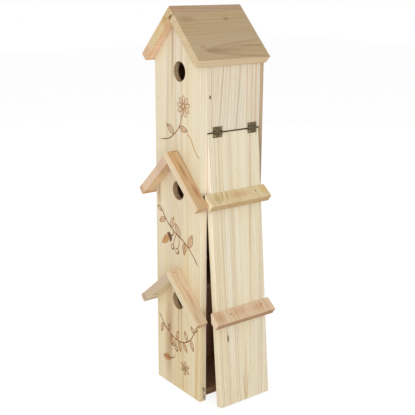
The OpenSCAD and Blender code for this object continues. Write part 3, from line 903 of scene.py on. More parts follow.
# a hanging garland, with a fallen leaf and a small flower over the base
stroke([(-55, 122), (-38, 104), (-14, 93), (12, 92), (34, 104), (50, 126)], 1.7)
for base, angle, length in (
        ((-44, 109), -118, 20), ((-30, 99), 70, 16), ((-22, 96), -84, 22), ((-4, 92), 74, 18),
        ((2, 92), -80, 20), ((16, 93), -62, 18), ((26, 98), 108, 19), ((36, 106), -70, 21),
        ((46, 120), 128, 14)):
    leaf(base, angle, length, length * 0.42, 2, washed=0.22 if angle < 0 else 0.0)
for centre, radius in (((-12, 79), 3.2), ((-5, 72.5), 3.4), ((52, 129), 3.0)):
    berry(centre, radius)
stroke([(-10, 92), (-12, 83)], 1.1)
stroke([(-8, 92), (-5, 77)], 1.1)
flower((20, 46), 12.5, 6, 0.5)
fallen = [(-46, 46), (-40, 52), (-31, 54), (-22, 50), (-28, 44), (-38, 42)]
wash(fallen + fallen[:1], 0.45)
stroke([(-46, 46), (-36, 48), (-22, 50), (-14, 54)], 1.3)
drawn = sum(np.linalg.norm(np.diff(path, axis=0), axis=1).sum() for path, _, _ in strokes)
print("burnt strokes:", len(strokes), "length", round(drawn), "mm")

# %% [markdown]
# ## Rings of points
# The front board is the one board that isn't a plain convex shape, because of its three holes, so
# a convex hull can't make it. It is built up from rings of points instead: rings round the
# outline and round each hole, moved inwards step by step, make the sanded edges. A ring round a
# hole runs the other way, so that its wall faces inwards.

# %% Rings of points
ARRIS, HOLE_ARRIS, CORNER = 0.6, 0.5, 0.8  # millimetres: sanded edge of face and hole, upright corners


def outline_ring(corners, inset, spacing=7.0):
    """The rounded outline, moved inwards; every ring has the same number of points."""
    n, points, normals = len(corners), [], []
    for a, b in zip(corners, corners[1:] + corners[:1]):
        d = (np.array(b) - a) / np.linalg.norm(np.array(b) - a)
        normals.append(np.array([d[1], -d[0]]))
    centres = []
    for k in range(n):
        m, q = normals[k - 1], normals[k]
        centres.append(np.array(corners[k]) - (m + q) * CORNER / (1 + m @ q))
    for k in range(n):
        m, q, r = normals[k - 1], normals[k], CORNER - inset
        for u in np.linspace(0, 1, 4):
            v = m * (1 - u) + q * u
            points.append(centres[k] + r * v / np.linalg.norm(v))
        a, b = points[-1], centres[(k + 1) % n] + r * normals[k]
        steps = int(np.linalg.norm(np.array(corners[(k + 1) % n]) - corners[k]) / spacing)
        points += [a + (b - a) * s / steps for s in range(1, steps)]
    return np.array(points)


def hole_ring(hole, grow, segments=96):
    """A circle of points round a hole, clockwise so that its wall faces inwards."""
    x, z, r = hole
    turn = -2 * math.pi * np.arange(segments) / segments
    return np.stack([x + (r + grow) * np.cos(turn), z + (r + grow) * np.sin(turn)], 1)


print("points round a hole:", len(hole_ring((0, 0, 16), 0)))

# %% [markdown]
# ## Outline and holes of the front board
# Their sizes come from the CAD node. Its front face is a flat cloud of points. The corners of the
# board are the corners of that cloud's convex hull. The points that are left lie on the rims of
# the holes, and fall into three groups, one for each hole.

# %% Outline and holes of the front board
RIM_SPACING = 20  # millimetres: points further apart than this up the board belong to different holes
BEND = 0.5  # square millimetres: a hull point that bends the outline by less isn't a corner

lo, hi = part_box("front_board")
face = sorted({(round(v.co.x / MM, 3), round(v.co.z / MM, 3))
               for v in nodes["front_board"].data.vertices if abs(v.co.y - lo.y) < TOUCHING})
hull = [np.array(face[k]) for k in geometry.convex_hull_2d(face)]
corners = []
for k, c in enumerate(hull):
    a, b = c - hull[k - 1], hull[(k + 1) % len(hull)] - c
    if a[0] * b[1] - a[1] * b[0] > BEND:
        corners.append(c)
rims = [p for p in face if min(math.dist(c, p) for c in corners) > 1.0]
rims = np.array(sorted(rims, key=lambda p: p[1]))
holes = []
for rim in np.split(rims, np.flatnonzero(np.diff(rims[:, 1]) > RIM_SPACING) + 1):
    middle = (rim.min(0) + rim.max(0)) / 2
    holes.append((*middle, np.linalg.norm(rim - middle, axis=1).max()))
print("corners:", [tuple(np.round(c, 1)) for c in corners])
print("holes:", [tuple(np.round(h, 2)) for h in holes])

# %% [markdown]
# ## How burnt each point is
# A burnt line is a shallow groove with a char-brown core and a tan halo, so it should be in the
# mesh, not only in the colour. Each point asks how far the nearest stroke is. A search tree of
# all the samples answers that quickly. The hand's pressure varies along a stroke, so each one
# gets a slow random change of strength.

# %% How burnt each point is
HALO, CORE_RIM, CORE_BLUR = 1.0, 0.22, 0.35  # millimetres: the tan halo, and the soft edge of the core
HALO_STRENGTH, WASH_STRENGTH = 0.36, 0.95


def burn_field():
    """Every stroke sample in a search tree, with its half width and its strength."""
    rng, rows = np.random.default_rng(7), []
    for path, width, strength in strokes:
        marks = range(0, len(path) + 8, 4)
        pressure = np.interp(np.arange(len(path)), marks, rng.uniform(0.72, 1.08, len(marks)))
        rows += [(x, z, width / 2, strength * p) for (x, z), p in zip(path, pressure)]
    for path, strength in washes:
        rows += [(x, z, 0.5, strength) for x, z in path]
    tree = kdtree.KDTree(len(rows))
    for k, (x, z, _, _) in enumerate(rows):
        tree.insert((x, z, 0), k)
    tree.balance()
    return tree, rows


def inside(point, ring):
    """Whether a point lies in a closed ring of points."""
    x, z = point
    a, b = ring[:-1], ring[1:]
    cuts = (a[:, 1] > z) != (b[:, 1] > z)
    at = a[cuts, 0] + (z - a[cuts, 1]) * (b[cuts, 0] - a[cuts, 0]) / (b[cuts, 1] - a[cuts, 1])
    return bool((at > x).sum() % 2)


def burn_at(point, tree, rows):
    """How burnt the face is at a point, from 0 to 1."""
    burn = 0.0
    for _, k, gap in tree.find_range((point[0], point[1], 0), 2 * HALO):
        half, strength = rows[k][2:]
        core = min(1.0, max(0.0, (half + CORE_RIM - gap) / CORE_BLUR))
        halo = min(1.0, max(0.0, (half + HALO - gap) / HALO))
        burn = max(burn, strength * max(core, HALO_STRENGTH * halo * halo))
    for path, strength in washes:
        if path[:, 0].min() < point[0] < path[:, 0].max() and inside(point, path):
            burn = max(burn, strength * WASH_STRENGTH)
    return burn


burn_tree, burn_rows = burn_field()
print("burn at the branch's foot:", round(burn_at((54, 246), burn_tree, burn_rows), 2))

# %% [markdown]
# ## Points of the front face
# The front face needs small triangles along the strokes and few elsewhere. So points are laid in
# rows along every stroke and close beside it, where the groove ends, and in a grid over every wash.
# Points that nearly meet would make thin triangles, so only the first of them is kept.

# %% Points of the front face
CLOSEST, CLEAR_OF_HOLE = 0.3, 1.2  # millimetres: between two points, and between a point and a hole
GRID = 0.8  # millimetres: the spacing of the points over a wash
SIDE_LIMIT, FOOT_LIMIT = 61.6, 1.2  # millimetres: no point of a stroke comes closer to the edges


def loop_edges(start, count):
    """The edges of a closed ring of points, by number."""
    return [(start + k, start + (k + 1) % count) for k in range(count)]


def face_points(rings):
    """Points of the front face with the edges of its rings: rings first, then strokes and washes."""
    points, edges, seen = [], [], set()
    for ring in rings:
        edges += loop_edges(len(points), len(ring))
        points += [tuple(p) for p in ring]

    def add(p):
        key = (round(p[0] / CLOSEST), round(p[1] / CLOSEST))
        clear = all(math.hypot(p[0] - x, p[1] - z) > r + CLEAR_OF_HOLE for x, z, r in holes)
        if key not in seen and clear and abs(p[0]) < SIDE_LIMIT and p[1] > FOOT_LIMIT:
            seen.add(key)
            points.append((float(p[0]), float(p[1])))

    for path, width in [(p, w) for p, w, _ in strokes] + [(p, 1.0) for p, _ in washes]:
        ahead = np.gradient(path, axis=0)
        side = np.stack([-ahead[:, 1], ahead[:, 0]], 1) / np.linalg.norm(ahead, axis=1)[:, None]
        for off in (0.0, width / 2 - 0.1, width / 2 + 0.2, width / 2 + HALO):
            for p in np.vstack([path + side * off, path - side * off]) if off else path:
                add(p)
    for path, _ in washes:
        for x in np.arange(path[:, 0].min(), path[:, 0].max(), GRID):
            for z in np.arange(path[:, 1].min(), path[:, 1].max(), GRID):
                if inside((x, z), path):
                    add((x, z))
    return points, edges


front_rings = [outline_ring(corners, ARRIS)] + [hole_ring(h, HOLE_ARRIS) for h in holes]
face_spots, face_edges = face_points(front_rings)
print("points of the front face:", len(face_spots))

# %% [markdown]
# ## Faces of a flat side
# A Delaunay triangulation joins the points up into well-shaped triangles and keeps the rings as
# edges. It fills the holes too, so the triangles inside a hole are left out. The plain rear face
# is made the same way, from its rings alone.

# %% Faces of a flat side
SLIVER = 1e-4  # area over length squared; flatter triangles only come from rounding on straight edges
SNAP = 1e-5  # millimetres: points that are closer than this become one


def triangulated(points, edges):
    """The points after a Delaunay triangulation, its triangles, and where each point came from."""
    made = geometry.delaunay_2d_cdt([Vector(p) for p in points], edges, [], 0, SNAP)
    return made[0], made[2], made[3]


def flat_faces(bm, verts, flat, triangles, facing, keep):
    """Makes the kept triangles of a flat side; facing is -1 for the front of the box, 1 for its back."""
    for tri in triangles:
        spots = [flat[k] for k in tri]
        longest = max((spots[k] - spots[k - 1]).length for k in range(3))
        if geometry.area_tri(*spots) < SLIVER * longest**2 or not keep(sum(spots, Vector((0, 0))) / 3):
            continue
        corner = [verts[k] for k in tri]
        a, b, c = (v.co for v in corner)
        if (b - a).cross(c - a).y * facing < 0:
            corner.reverse()
        bm.faces.new(corner)


print("triangles of the front face, with those in the holes:", len(triangulated(face_spots, face_edges)[1]))

# %% [markdown]
# ## Walls of the front board
# From each ring of the face a wall of quads goes back to the rear. The outline is eased at both
# ends. The wall of a hole is rough from the hole saw, and at the rear the saw tore the rim out,
# so there the wall flares. Clean holes with crisp rims would look drilled in plastic.

# %% Walls of the front board
TORN, BROKEN_OUT = 3.6, 3.0  # millimetres: how deep and how wide the saw tore the rear rim of a hole
SAW_START, SAW_STEPS = 1.2, 12  # the sawn wall starts so many millimetres in, and has so many rings
ROUGH_WALL, ROUGH_RIM = 0.06, 0.3  # millimetres: how uneven the saw left them
PALE_WOOD, SAWN_WOOD = 0, 1  # the board's two materials


def wall_levels(hole, front, rear):
    """Steps of a wall from front to rear: (y, set back from the edge, sanded or not)."""
    e = HOLE_ARRIS if hole else ARRIS

    def eased(degrees):
        a = math.radians(degrees)
        return e * (1 - math.cos(a)), e * (1 - math.sin(a))

    levels = [(front + y, d, 1.0) for y, d in map(eased, (30, 60, 90))]
    if hole:
        levels += [(y, 0.0, 0.0) for y in np.linspace(front + SAW_START, rear - TORN, SAW_STEPS)]
        return levels + [(rear - TORN * (1 - u), BROKEN_OUT * u, 0.0) for u in (0.35, 0.7, 1.0)]
    rear_steps = [eased(degrees) for degrees in (90, 60, 30, 0)]
    return levels + [(rear - y, d, float(k > 0)) for k, (y, d) in enumerate(rear_steps)]


def wall(bm, first, hole, rng):
    """Quads from one ring of the face back to the rear; gives back the last ring."""
    edge = bm.faces.layers.float["edge"]
    front, rear = lo.y / MM, hi.y / MM
    for y, d, sanded in wall_levels(hole, front, rear):
        shape = hole_ring(hole, d) if hole else outline_ring(corners, d)
        ragged = 0.0 if not hole or sanded else ROUGH_WALL if d == 0.0 else ROUGH_RIM
        ring = []
        for p, rough in zip(shape, rng.normal(0, 1, len(shape)) * ragged):
            if hole:
                p = p + (p - np.array(hole[:2])) / hole[2] * rough
            ring.append(bm.verts.new((p[0] * MM, y * MM, p[1] * MM)))
        sawn = hole and (d == 0.0 or y > rear - TORN)
        for k, following in loop_edges(0, len(ring)):
            quad = bm.faces.new((first[k], first[following], ring[following], ring[k]))
            quad.material_index, quad.smooth, quad[edge] = SAWN_WOOD if sawn else PALE_WOOD, True, sanded
        first = ring
    return first


print("rings of a hole's wall:", len(wall_levels(holes[0], lo.y / MM, hi.y / MM)))

# %% [markdown]
# ## The front board
# The face comes first: each of its points sinks by a fraction of a millimetre where it is burnt,
# and keeps the number that says how burnt it is, for the material to read. Then come the walls
# and the rear face, and the board is closed all round.

# %% The front board
BURN_DEPTH = 0.3  # millimetres
ROUNDING = 0.02  # millimetres: a ring of straight edges lies at most this much inside its circle


def carved_face(bm, rings):
    """The front face with its burnt grooves; gives back the vertices of each ring."""
    flat, triangles, origin = triangulated(face_spots, face_edges)
    burn, front = bm.verts.layers.float["burn"], []
    for p in flat:
        b = burn_at(p, burn_tree, burn_rows)
        v = bm.verts.new((p.x * MM, (lo.y / MM + BURN_DEPTH * b**1.5) * MM, p.y * MM))
        v[burn] = b
        front.append(v)
    rims = [(x, z, r + HOLE_ARRIS - ROUNDING) for x, z, r in holes]
    flat_faces(bm, front, flat, triangles, -1,
               lambda c: all(math.hypot(c.x - x, c.y - z) > r for x, z, r in rims))
    now = {k: n for n, ks in enumerate(origin) for k in ks}
    starts = np.cumsum([0] + [len(ring) for ring in rings])
    return [[front[now[start + k]] for k in range(len(ring))] for start, ring in zip(starts, rings)]


def rear_face(bm, rings):
    """The plain rear face between the last rings of the outline and the holes."""
    verts, edges = [], []
    for ring in rings:
        edges += loop_edges(len(verts), len(ring))
        verts += ring
    flat, triangles, origin = triangulated([(v.co.x / MM, v.co.z / MM) for v in verts], edges)
    rims = [np.array([(v.co.x / MM, v.co.z / MM) for v in ring + ring[:1]]) for ring in rings[1:]]
    flat_faces(bm, [verts[source[0]] for source in origin], flat, triangles, 1,
               lambda c: not any(inside(tuple(c), rim) for rim in rims))


def front_board():
    bm, rng = bmesh.new(), np.random.default_rng(3)
    bm.faces.layers.float.new("edge")
    bm.verts.layers.float.new("burn")
    face_rings = carved_face(bm, front_rings)
    rear_face(bm, [wall(bm, ring, hole, rng) for ring, hole in zip(face_rings, [None] + holes)])
    bmesh.ops.recalc_face_normals(bm, faces=bm.faces)
    open_edges = [e for e in bm.edges if len(e.link_faces) != 2]
    print("front board:", len(bm.faces), "faces, open edges:", len(open_edges))
    return finish_mesh("front_board_burnt", bm, [front_pine, hole_pine], "box", ["front_board"])


front_board()

# %% [markdown]
# ## The plain boards
# All other boards are made by the same function from their nodes. The door's edges were sanded
# a little more. The door's ledges are rubbed down by a hair, so that on the closed door they
# only just touch the boards that stop them.

# %% The plain boards
for node, material, arris in (
        ("back_board", back_pine, 0.7), ("left_side_board", left_pine, 0.7),
        ("right_upper_panel", panel_pine, 0.7), ("door_panel", door_pine, 1.0)):
    eased_board(node, material, arris)
for node in ("bottom_board", "lower_partition", "upper_partition"):
    eased_board(node, floor_pine)
eased_board("roof_right_board", roof_pine)
eased_board("roof_left_board", roof_left_pine)
for which in ("lower", "upper"):
    for side, label in ((-1, "left"), (1, "right")):
        eased_board(f"{which}_small_roof_{label}", small_roof_pines[which, side])
    eased_board(f"left_{which}_ledge", small_roof_pines[which, -1])
eased_board("door_upper_ledge", ledge_upper, sanded=0.05)
eased_board("door_lower_ledge", ledge_lower, sanded=0.05)

# %% [markdown]
# ## Metals
# Two metals show. The hinges are antiqued brass: a brown-black film that has worn back to dull
# brass on the raised parts. The turn hook is plated steel, pale and dull on the arm and dark on its
# threaded shank; that dark shank is partly its own colour and partly painted shade where the wire
# enters its hole in the board. Both need the same blotches and fine scratches, so those sit in one
# group, and each metal mixes its own colours with them.

# %% Metal wear, brass and zinc
t, i, o = group(
    "metal_wear", [("Place", "Vector", None)],
    [("Blotch", "Float"), ("Speck", "Float"), ("Scratch", "Float")])
drawn_out = t.vector("MULTIPLY", i["Place"], (900.0, 90.0, 900.0))
for label, spot, scale, detail, low, high in (
        ("Blotch", i["Place"], 260.0, 4.0, 0.36, 0.64), ("Speck", i["Place"], 1500.0, 2.0, 0.56, 0.70),
        ("Scratch", drawn_out, 3.0, 1.0, 0.60, 0.72)):
    t.plug(o[label], t.ramp(t.noise(spot, scale, detail), low, high))
metal_wear = t.tree


def metal(name, dark, bright, worn, metallic, roughness, attribute=None):
    """Plated or tarnished metal: a dark film, bright where it is worn, and dark where the mesh's
    attribute says so."""
    material, t = new_material(name)
    wear = t.use(metal_wear, Place=t.add("ShaderNodeTexCoord", out=3))
    specks = t.math("MULTIPLY", wear["Speck"], 0.35)
    rubbed = t.math("ADD", t.math("MULTIPLY", wear["Blotch"], worn), specks, clamp=True)
    if attribute:
        rubbed = t.math("MULTIPLY", rubbed, t.ramp(t.attribute(attribute), 0.2, 0.8, 1.0, 0.0))
    film = t.math("MULTIPLY", t.math("SUBTRACT", 1.0, rubbed), 0.22)
    rough = t.math("ADD", roughness, film)
    rough = t.math("SUBTRACT", rough, t.math("MULTIPLY", wear["Scratch"], 0.12))
    height = t.math("SUBTRACT", t.math("MULTIPLY", wear["Blotch"], 0.6), wear["Scratch"])
    bump = t.add("ShaderNodeBump", {"Strength": 0.25, "Distance": 0.0001, "Height": height})
    t.surface(t.add("ShaderNodeBsdfPrincipled", {"Base Color": t.blend(rubbed, dark, bright), "Normal": bump,
                                                 "Metallic": metallic, "Roughness": rough}))
    return material


hinge_brass = metal("antique_brass", card(88, 76, 56), card(150, 134, 100), 0.55, 0.65, 0.42)
screw_brass = metal("screw_brass", card(104, 92, 68), card(188, 170, 128), 0.75, 0.75, 0.34)
# painted shade, in part: the dark threaded shank also stands for the shade in the hole where the wire enters
# the board
hook_zinc = metal("zinc_hook", card(66, 52, 42), card(224, 208, 190), 1.0, 0.3, 0.42, attribute="thread")
nail_steel = metal("nail_steel", card(104, 92, 82), card(150, 142, 134), 0.6, 0.8, 0.4)
print("metals:", [m.name for m in (hinge_brass, screw_brass, hook_zinc, nail_steel)])

# %% [markdown]
# ## Butt hinges
# A small butt hinge is stamped from 1 mm sheet: two leaves whose ends curl into knuckles round a
# pin. The CAD nodes already hold that shape, so a merged copy is taken, its flat faces are
# joined, and every sharp edge gets a tiny bevel, as stamping and tumbling leave it.

# %% Butt hinges
EDGE_RADIUS = 0.12  # millimetres


def tumbled(node, material):
    """A merged copy of a metal CAD node with softened edges."""
    bm = bmesh.new()
    bm.from_mesh(nodes[node].data)
    bmesh.ops.remove_doubles(bm, verts=bm.verts, dist=TOUCHING)
    join_flat_faces(bm)
    sharp = [e for e in bm.edges if len(e.link_faces) == 2 and e.calc_face_angle() > math.radians(40)]
    bmesh.ops.bevel(bm, geom=sharp, offset=EDGE_RADIUS * MM, offset_type="OFFSET", segments=2, profile=0.6,
                    affect="EDGES", clamp_overlap=True)
    piece = finish_mesh(node + "_metal", bm, [material], body_of_node[node], [node])
    piece.data.shade_smooth()
    piece.data.set_sharp_from_angle(angle=math.radians(32))
    return piece


for place in ("front", "rear"):
    for part in ("fixed_leaf", "door_leaf", "pin"):
        tumbled(f"{place}_hinge_{part}", hinge_brass)

# %% [markdown]
# ## Screws and nails
# Cross-head screws hold the hinges, and two nail heads show on the lower small roof. They
# repeat, so Geometry Nodes make them: one head is built from a squashed sphere with a cross cut
# out of it, and it is placed on every point, turned to the point's own axis and then by a seeded
# angle, because no two screws stop at the same turn. Set the cross width to nought and it is a
# nail.

# %% Fastener nodes
t, i, o = group(
    "fasteners",
    [("Points", "Geometry", None), ("Head Radius", "Float", 0.0015), ("Head Height", "Float", 0.0007),
     ("Cross Width", "Float", 0.0004), ("Shank Radius", "Float", 0.00075), ("Shank Length", "Float", 0.008),
     ("Seed", "Int", 1), ("Metal", "Material", None)],
    [("Fasteners", "Geometry")], "GeometryNodeTree")
head_size = t.join(i["Head Radius"], i["Head Radius"], i["Head Height"])
ball = t.add("GeometryNodeMeshUVSphere", {"Segments": 28, "Rings": 14, "Radius": 1.0})
dome = t.add("GeometryNodeTransform", {"Geometry": ball, "Scale": head_size})
reach, cut_depth = t.math("MULTIPLY", i["Head Radius"], 1.15), t.math("MULTIPLY", i["Head Height"], 1.1)
lift = t.join(0.0, 0.0, i["Head Height"])
cut = t.add("GeometryNodeMeshBoolean", {"Mesh 1": dome}, out=None, operation="DIFFERENCE", solver="EXACT")
for size in ((reach, i["Cross Width"]), (i["Cross Width"], reach)):
    bar = t.add("GeometryNodeMeshCube", {"Size": t.join(*size, cut_depth)})
    t.plug(cut.inputs["Mesh 2"], t.add("GeometryNodeTransform", {"Geometry": bar, "Translation": lift}))
has_cross = t.add("FunctionNodeCompare", (i["Cross Width"], 0.01 * MM), data_type="FLOAT",
                  operation="GREATER_THAN")
head = t.add("GeometryNodeSwitch", {"Switch": has_cross, "False": dome, "True": cut.outputs[0]},
             input_type="GEOMETRY")
shank = t.add("GeometryNodeMeshCylinder",
              {"Vertices": 16, "Radius": i["Shank Radius"], "Depth": i["Shank Length"]})
down = t.join(0.0, 0.0, t.math("MULTIPLY", i["Shank Length"], -0.5))
whole = t.add("GeometryNodeJoinGeometry", out=None)
for part in (head, t.add("GeometryNodeTransform", {"Geometry": shank, "Translation": down})):
    t.plug(whole.inputs[0], part)
axis = t.add("GeometryNodeInputNamedAttribute", {"Name": "axis"}, data_type="FLOAT_VECTOR")
upright = t.add("FunctionNodeAlignRotationToVector", {"Vector": axis}, axis="Z")
twist = t.add("FunctionNodeRandomValue", {2: 0.0, 3: 3.14, "Seed": i["Seed"]}, out=1, data_type="FLOAT")
twist = t.add("FunctionNodeAxisAngleToRotation", {"Axis": (0.0, 0.0, 1.0), "Angle": twist})
turned = t.add("FunctionNodeRotateRotation", {"Rotation": upright, "Rotate By": twist},
               rotation_space="LOCAL")
placed = t.add("GeometryNodeInstanceOnPoints",
               {"Points": i["Points"], "Instance": whole.outputs[0], "Rotation": turned})
solid = t.add("GeometryNodeRealizeInstances", {"Geometry": placed})
smooth = t.add("GeometryNodeSetShadeSmooth", {"Geometry": solid})
t.plug(o["Fasteners"], t.add("GeometryNodeSetMaterial", {"Geometry": smooth, "Material": i["Metal"]}))
fasteners = t.tree
print("fastener tree:", len(fasteners.nodes), "nodes")

# %% [markdown]
# ## Placing the fasteners
# Each screw sits where the CAD has one. The CAD keeps the screws of a body in one node, so the
# node is split into loose parts, and the outermost end of each part is the head. The CAD
# model leaves the two small nails out, so their places are written here, near the ridge of the
# lower small roof. The modifier's inputs are set by socket identifier, and the evaluated result
# is kept as a plain mesh.

# %% Placing the fasteners
TOP_BAND = 0.01 * MM  # points this close to a screw's outermost end belong to its flat top
HEAD = 0.7  # millimetres: the height of a head in the CAD model


def fastened(name, spots, axis, body, slot, replaced=(), **sizes):
    """Screws or nails at the given points, standing along one axis; sizes are the tree's inputs."""
    mesh = bpy.data.meshes.new(name + "_points")
    mesh.from_pydata([tuple(s) for s in spots], [], [])
    axes_of_points = mesh.attributes.new("axis", "FLOAT_VECTOR", "POINT")
    axes_of_points.data.foreach_set("vector", list(axis) * len(spots))
    holder = new_object(name + "_points", mesh)
    modifier = holder.modifiers.new("fasteners", "NODES")
    modifier.node_group = fasteners
    sockets = {s.name: s.identifier for s in fasteners.interface.items_tree if s.in_out == "INPUT"}
    for label, value in sizes.items():
        modifier[sockets[label.replace("_", " ")]] = value
    made = bpy.data.meshes.new_from_object(holder.evaluated_get(bpy.context.evaluated_depsgraph_get()))
    bpy.data.objects.remove(holder)
    made.name = name
    made.set_sharp_from_angle(angle=math.radians(40))
    print(name, len(spots), "pieces,", len(made.polygons), "faces")
    return dress(new_object(name, made), body, replaced)


def head_seats(node, outward, sink):
    """The middle of each screw head in a CAD node, moved inwards by sink millimetres."""
    bm = bmesh.new()
    bm.from_mesh(nodes[node].data)
    bmesh.ops.remove_doubles(bm, verts=bm.verts, dist=TOUCHING)
    left, seats = set(bm.verts), []
    while left:
        part, front = set(), [left.pop()]
        while front:
            v = front.pop()
            part.add(v)
            front += [w for e in v.link_edges for w in e.verts if w not in part]
        left -= part
        reach = max(v.co.dot(outward) for v in part)
        top = sorted(tuple(v.co) for v in part if v.co.dot(outward) > reach - TOP_BAND)
        middle = sum(map(Vector, top), Vector()) / len(top)
        seats.append(middle - outward * sink * MM)
    bm.free()
    return sorted(seats, key=lambda s: (round(s.y, 4), s.z))


screw = dict(Head_Radius=1.5 * MM, Head_Height=HEAD * MM, Cross_Width=0.42 * MM, Shank_Radius=0.75 * MM,
             Shank_Length=7.0 * MM, Metal=screw_brass)
nail = dict(Head_Radius=1.1 * MM, Head_Height=0.25 * MM, Cross_Width=0.0, Shank_Radius=0.5 * MM,
            Shank_Length=6 * MM, Metal=nail_steel)
for body, label, outward, seed in (
        ("box", "panel", Vector((1, 0, 0)), 4), ("door", "door", -Vector(door_in), 9)):
    node = f"hinge_{label}_screws"
    fastened(label + "_screws", head_seats(node, outward, HEAD), outward, body, "hinge_brass", [node],
             Seed=seed, **screw)

ridge, tip = (Vector((v[0], 0, v[1])) * MM for v in SMALL_RIDGES["lower"])
slope = (tip - ridge).normalized()
roof_out = Vector((-slope.z, 0, slope.x))
nail_spots = [ridge + slope * s * MM + Vector((0, y * MM, 0)) for s, y in ((5.5, -77), (6.5, -70.5))]
fastened("small_roof_nails", nail_spots, roof_out, "box", "hook_steel", Seed=2, **nail)

# %% [markdown]
# ## Turn hook
# The hook is one piece of wire: a threaded end in the edge of the front board, a tight bend and
# an arm that turns across the door. A ring of points is carried along the wire's path. On the
# straight end the radius rises and falls with both the turn and the distance, which makes a true
# helix, and at the tip the rings shrink to a rounded end.

# %% Turn hook
THREAD_PITCH, THREAD_DEPTH = 1.1 * MM, 0.22  # the depth is a share of the wire's radius
THREAD_SHOWN = 1.6 * MM  # how far the thread runs on out of the board
ROUND, RING_STEP = 24, 0.09 * MM  # points round the wire, and how far its rings lie apart on the thread


def hook_path(low, high, wire):
    """Points along the middle of the wire, each with the way the wire runs there."""
    axis_y, axis_z, arm_x, bend = (high.y + low.y) / 2, high.z - wire, high.x - wire, 2.0 * wire
    out, down = Vector((1, 0, 0)), Vector((0, 0, -1))
    path = [(Vector((x, axis_y, axis_z)), out) for x in np.arange(low.x, arm_x - bend, RING_STEP)]
    for a in np.linspace(0, math.pi / 2, 12):
        spot = Vector((arm_x - bend + bend * math.sin(a), axis_y, axis_z - bend + bend * math.cos(a)))
        path.append((spot, Vector((math.cos(a), 0, -math.sin(a)))))
    path += [(Vector((arm_x, axis_y, z)), down) for z in np.linspace(axis_z - bend, low.z + wire, 14)[1:]]
    tip = [low.z + wire * (1 - math.sin(a)) for a in np.radians([20, 40, 60, 78])]
    return path + [(Vector((arm_x, axis_y, z)), down) for z in tip]


def hook_ring(bm, point, ahead, low, wire, board_x):
    """One ring of the wire: smaller at the rounded tip, and grooved where it has its thread."""
    threaded, across, ring = bm.verts.layers.float["thread"], Vector((0, 1, 0)), []
    third = ahead.cross(across)
    end = min(1.0, max(0.0, (point.z - low.z) / wire)) if ahead.z < -0.99 else 1.0
    size = wire * math.sqrt(max(0.02, 1 - (1 - end) ** 2))
    depth = THREAD_DEPTH if ahead.x > 0.999 and point.x < board_x + THREAD_SHOWN else 0.0
    for k in range(ROUND):
        turn = 2 * math.pi * k / ROUND
        groove = 0.5 + 0.5 * math.cos(2 * math.pi * point.x / THREAD_PITCH - turn)
        r = size * (1 - depth * groove**2)
        v = bm.verts.new(point + (across * math.cos(turn) + third * math.sin(turn)) * r)
        v[threaded] = 1.0 if ahead.x > 0.75 else 0.0
        ring.append(v)
    return ring


def turn_hook():
    low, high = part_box("turn_hook")
    wire, board_x = (high.y - low.y) / 2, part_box("front_board")[1].x
    bm = bmesh.new()
    bm.verts.layers.float.new("thread")
    rings = [hook_ring(bm, spot, ahead, low, wire, board_x) for spot, ahead in hook_path(low, high, wire)]
    for a, b in zip(rings, rings[1:]):
        for k, following in loop_edges(0, ROUND):
            bm.faces.new((a[k], a[following], b[following], b[k]))
    bm.faces.new(rings[0])
    bm.faces.new(rings[-1])
    bmesh.ops.recalc_face_normals(bm, faces=bm.faces)
    for face in bm.faces:
        face.smooth = True
    print("turn hook:", len(bm.faces), "faces")
    return finish_mesh("turn_hook_wire", bm, [hook_zinc], "latch", ["turn_hook"])


turn_hook()

# %% [markdown]
# ## Floor and backdrop
# A pale floor carries the box and its soft shadow. The background is plain white: the floor glows
# only for rays from the camera, and the world is at its whitest only for those and for
# reflections, so the background adds no light of its own. The sky's even light fills the shadows.

# %% Floor and sky
FLOOR_SIZE, FLOOR_DROP = 6.0, 0.0002  # metres; the floor lies a hair below the box
WHITE, PAPER, SEEN_PAPER = ((v, v, v, 1) for v in (1.0, 0.86, 0.22))
FLOOR_GLOW, SKY_LIGHT, BACKDROP = 0.86, 0.55, 1.0  # strengths; at 1 a backdrop is white


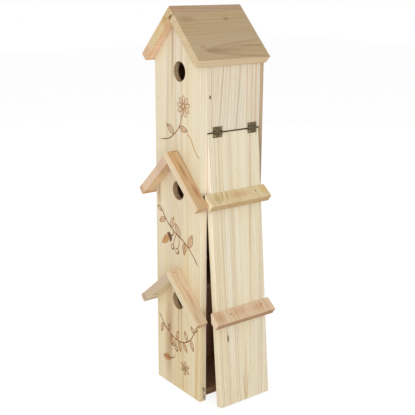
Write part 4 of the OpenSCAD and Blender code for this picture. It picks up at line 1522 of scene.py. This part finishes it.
def studio_floor():
    bm = bmesh.new()
    bmesh.ops.create_grid(bm, x_segments=1, y_segments=1, size=FLOOR_SIZE)
    mesh = bpy.data.meshes.new("studio_floor")
    bm.to_mesh(mesh)
    bm.free()
    floor = new_object("studio_floor", mesh)
    floor.location.z = -FLOOR_DROP
    material, t = new_material("floor_white")
    paper = t.add("ShaderNodeBsdfDiffuse", {"Color": PAPER})
    seen = t.add("ShaderNodeBsdfDiffuse", {"Color": SEEN_PAPER})
    glow = t.add("ShaderNodeEmission", {"Color": WHITE, "Strength": FLOOR_GLOW})
    camera_ray = t.add("ShaderNodeLightPath", out=None).outputs["Is Camera Ray"]
    shown = t.add("ShaderNodeAddShader", (seen, glow))
    t.surface(t.add("ShaderNodeMixShader", (camera_ray, paper, shown)))
    mesh.materials.append(material)
    return floor


studio_floor()
world = bpy.data.worlds.new("studio")
bpy.context.scene.world = world
world.use_nodes = True
world.node_tree.nodes.clear()
t = Tree(world.node_tree)
rays = t.add("ShaderNodeLightPath", out=None).outputs
seen = t.math("MAXIMUM", rays["Is Camera Ray"], rays["Is Glossy Ray"])
seen = t.math("MAXIMUM", seen, rays["Is Transmission Ray"])
sky, backdrop = (t.add("ShaderNodeBackground", {"Color": WHITE, "Strength": power})
                 for power in (SKY_LIGHT, BACKDROP))
t.surface(t.add("ShaderNodeMixShader", (seen, sky, backdrop)), "World")
print("world:", world.name)

# %% [markdown]
# ## Lamps
# Four big soft lamps stand round the box, as in a small studio: a key lamp in front, a fill lamp
# on the door's side, a weak one low on the left, and one behind. Big lamps give soft edges to the
# shadows under the roofs. Each is placed by two angles, like the camera, and looks at the middle
# of the box.

# %% Lamps
LAMP_DISTANCE, LAMP_AIM = 2.4, Vector((0, 0, 0.33))  # metres


def softbox(name, azimuth, elevation, size, power):
    """A square soft lamp that looks at the middle of the box."""
    lamp = new_object(name, bpy.data.lights.new(name, "AREA"))
    lamp.data.shape, lamp.data.size, lamp.data.energy = "SQUARE", size, power
    out = direction(azimuth, elevation)
    lamp.location = LAMP_AIM + out * LAMP_DISTANCE
    lamp.rotation_mode = "QUATERNION"
    lamp.rotation_quaternion = out.to_track_quat("Z", "Y")


softbox("key_lamp", 20, 24, 1.6, 17.0)
softbox("fill_lamp", 74, 12, 1.6, 16.6)
softbox("low_left_lamp", -50, 5, 1.4, 6)
softbox("rear_lamp", 225, 18, 1.6, 11)
bpy.context.scene.view_settings.view_transform = "Standard"

# %% [markdown] ## The end
# The dressed box must stay inside the CAD model's box.
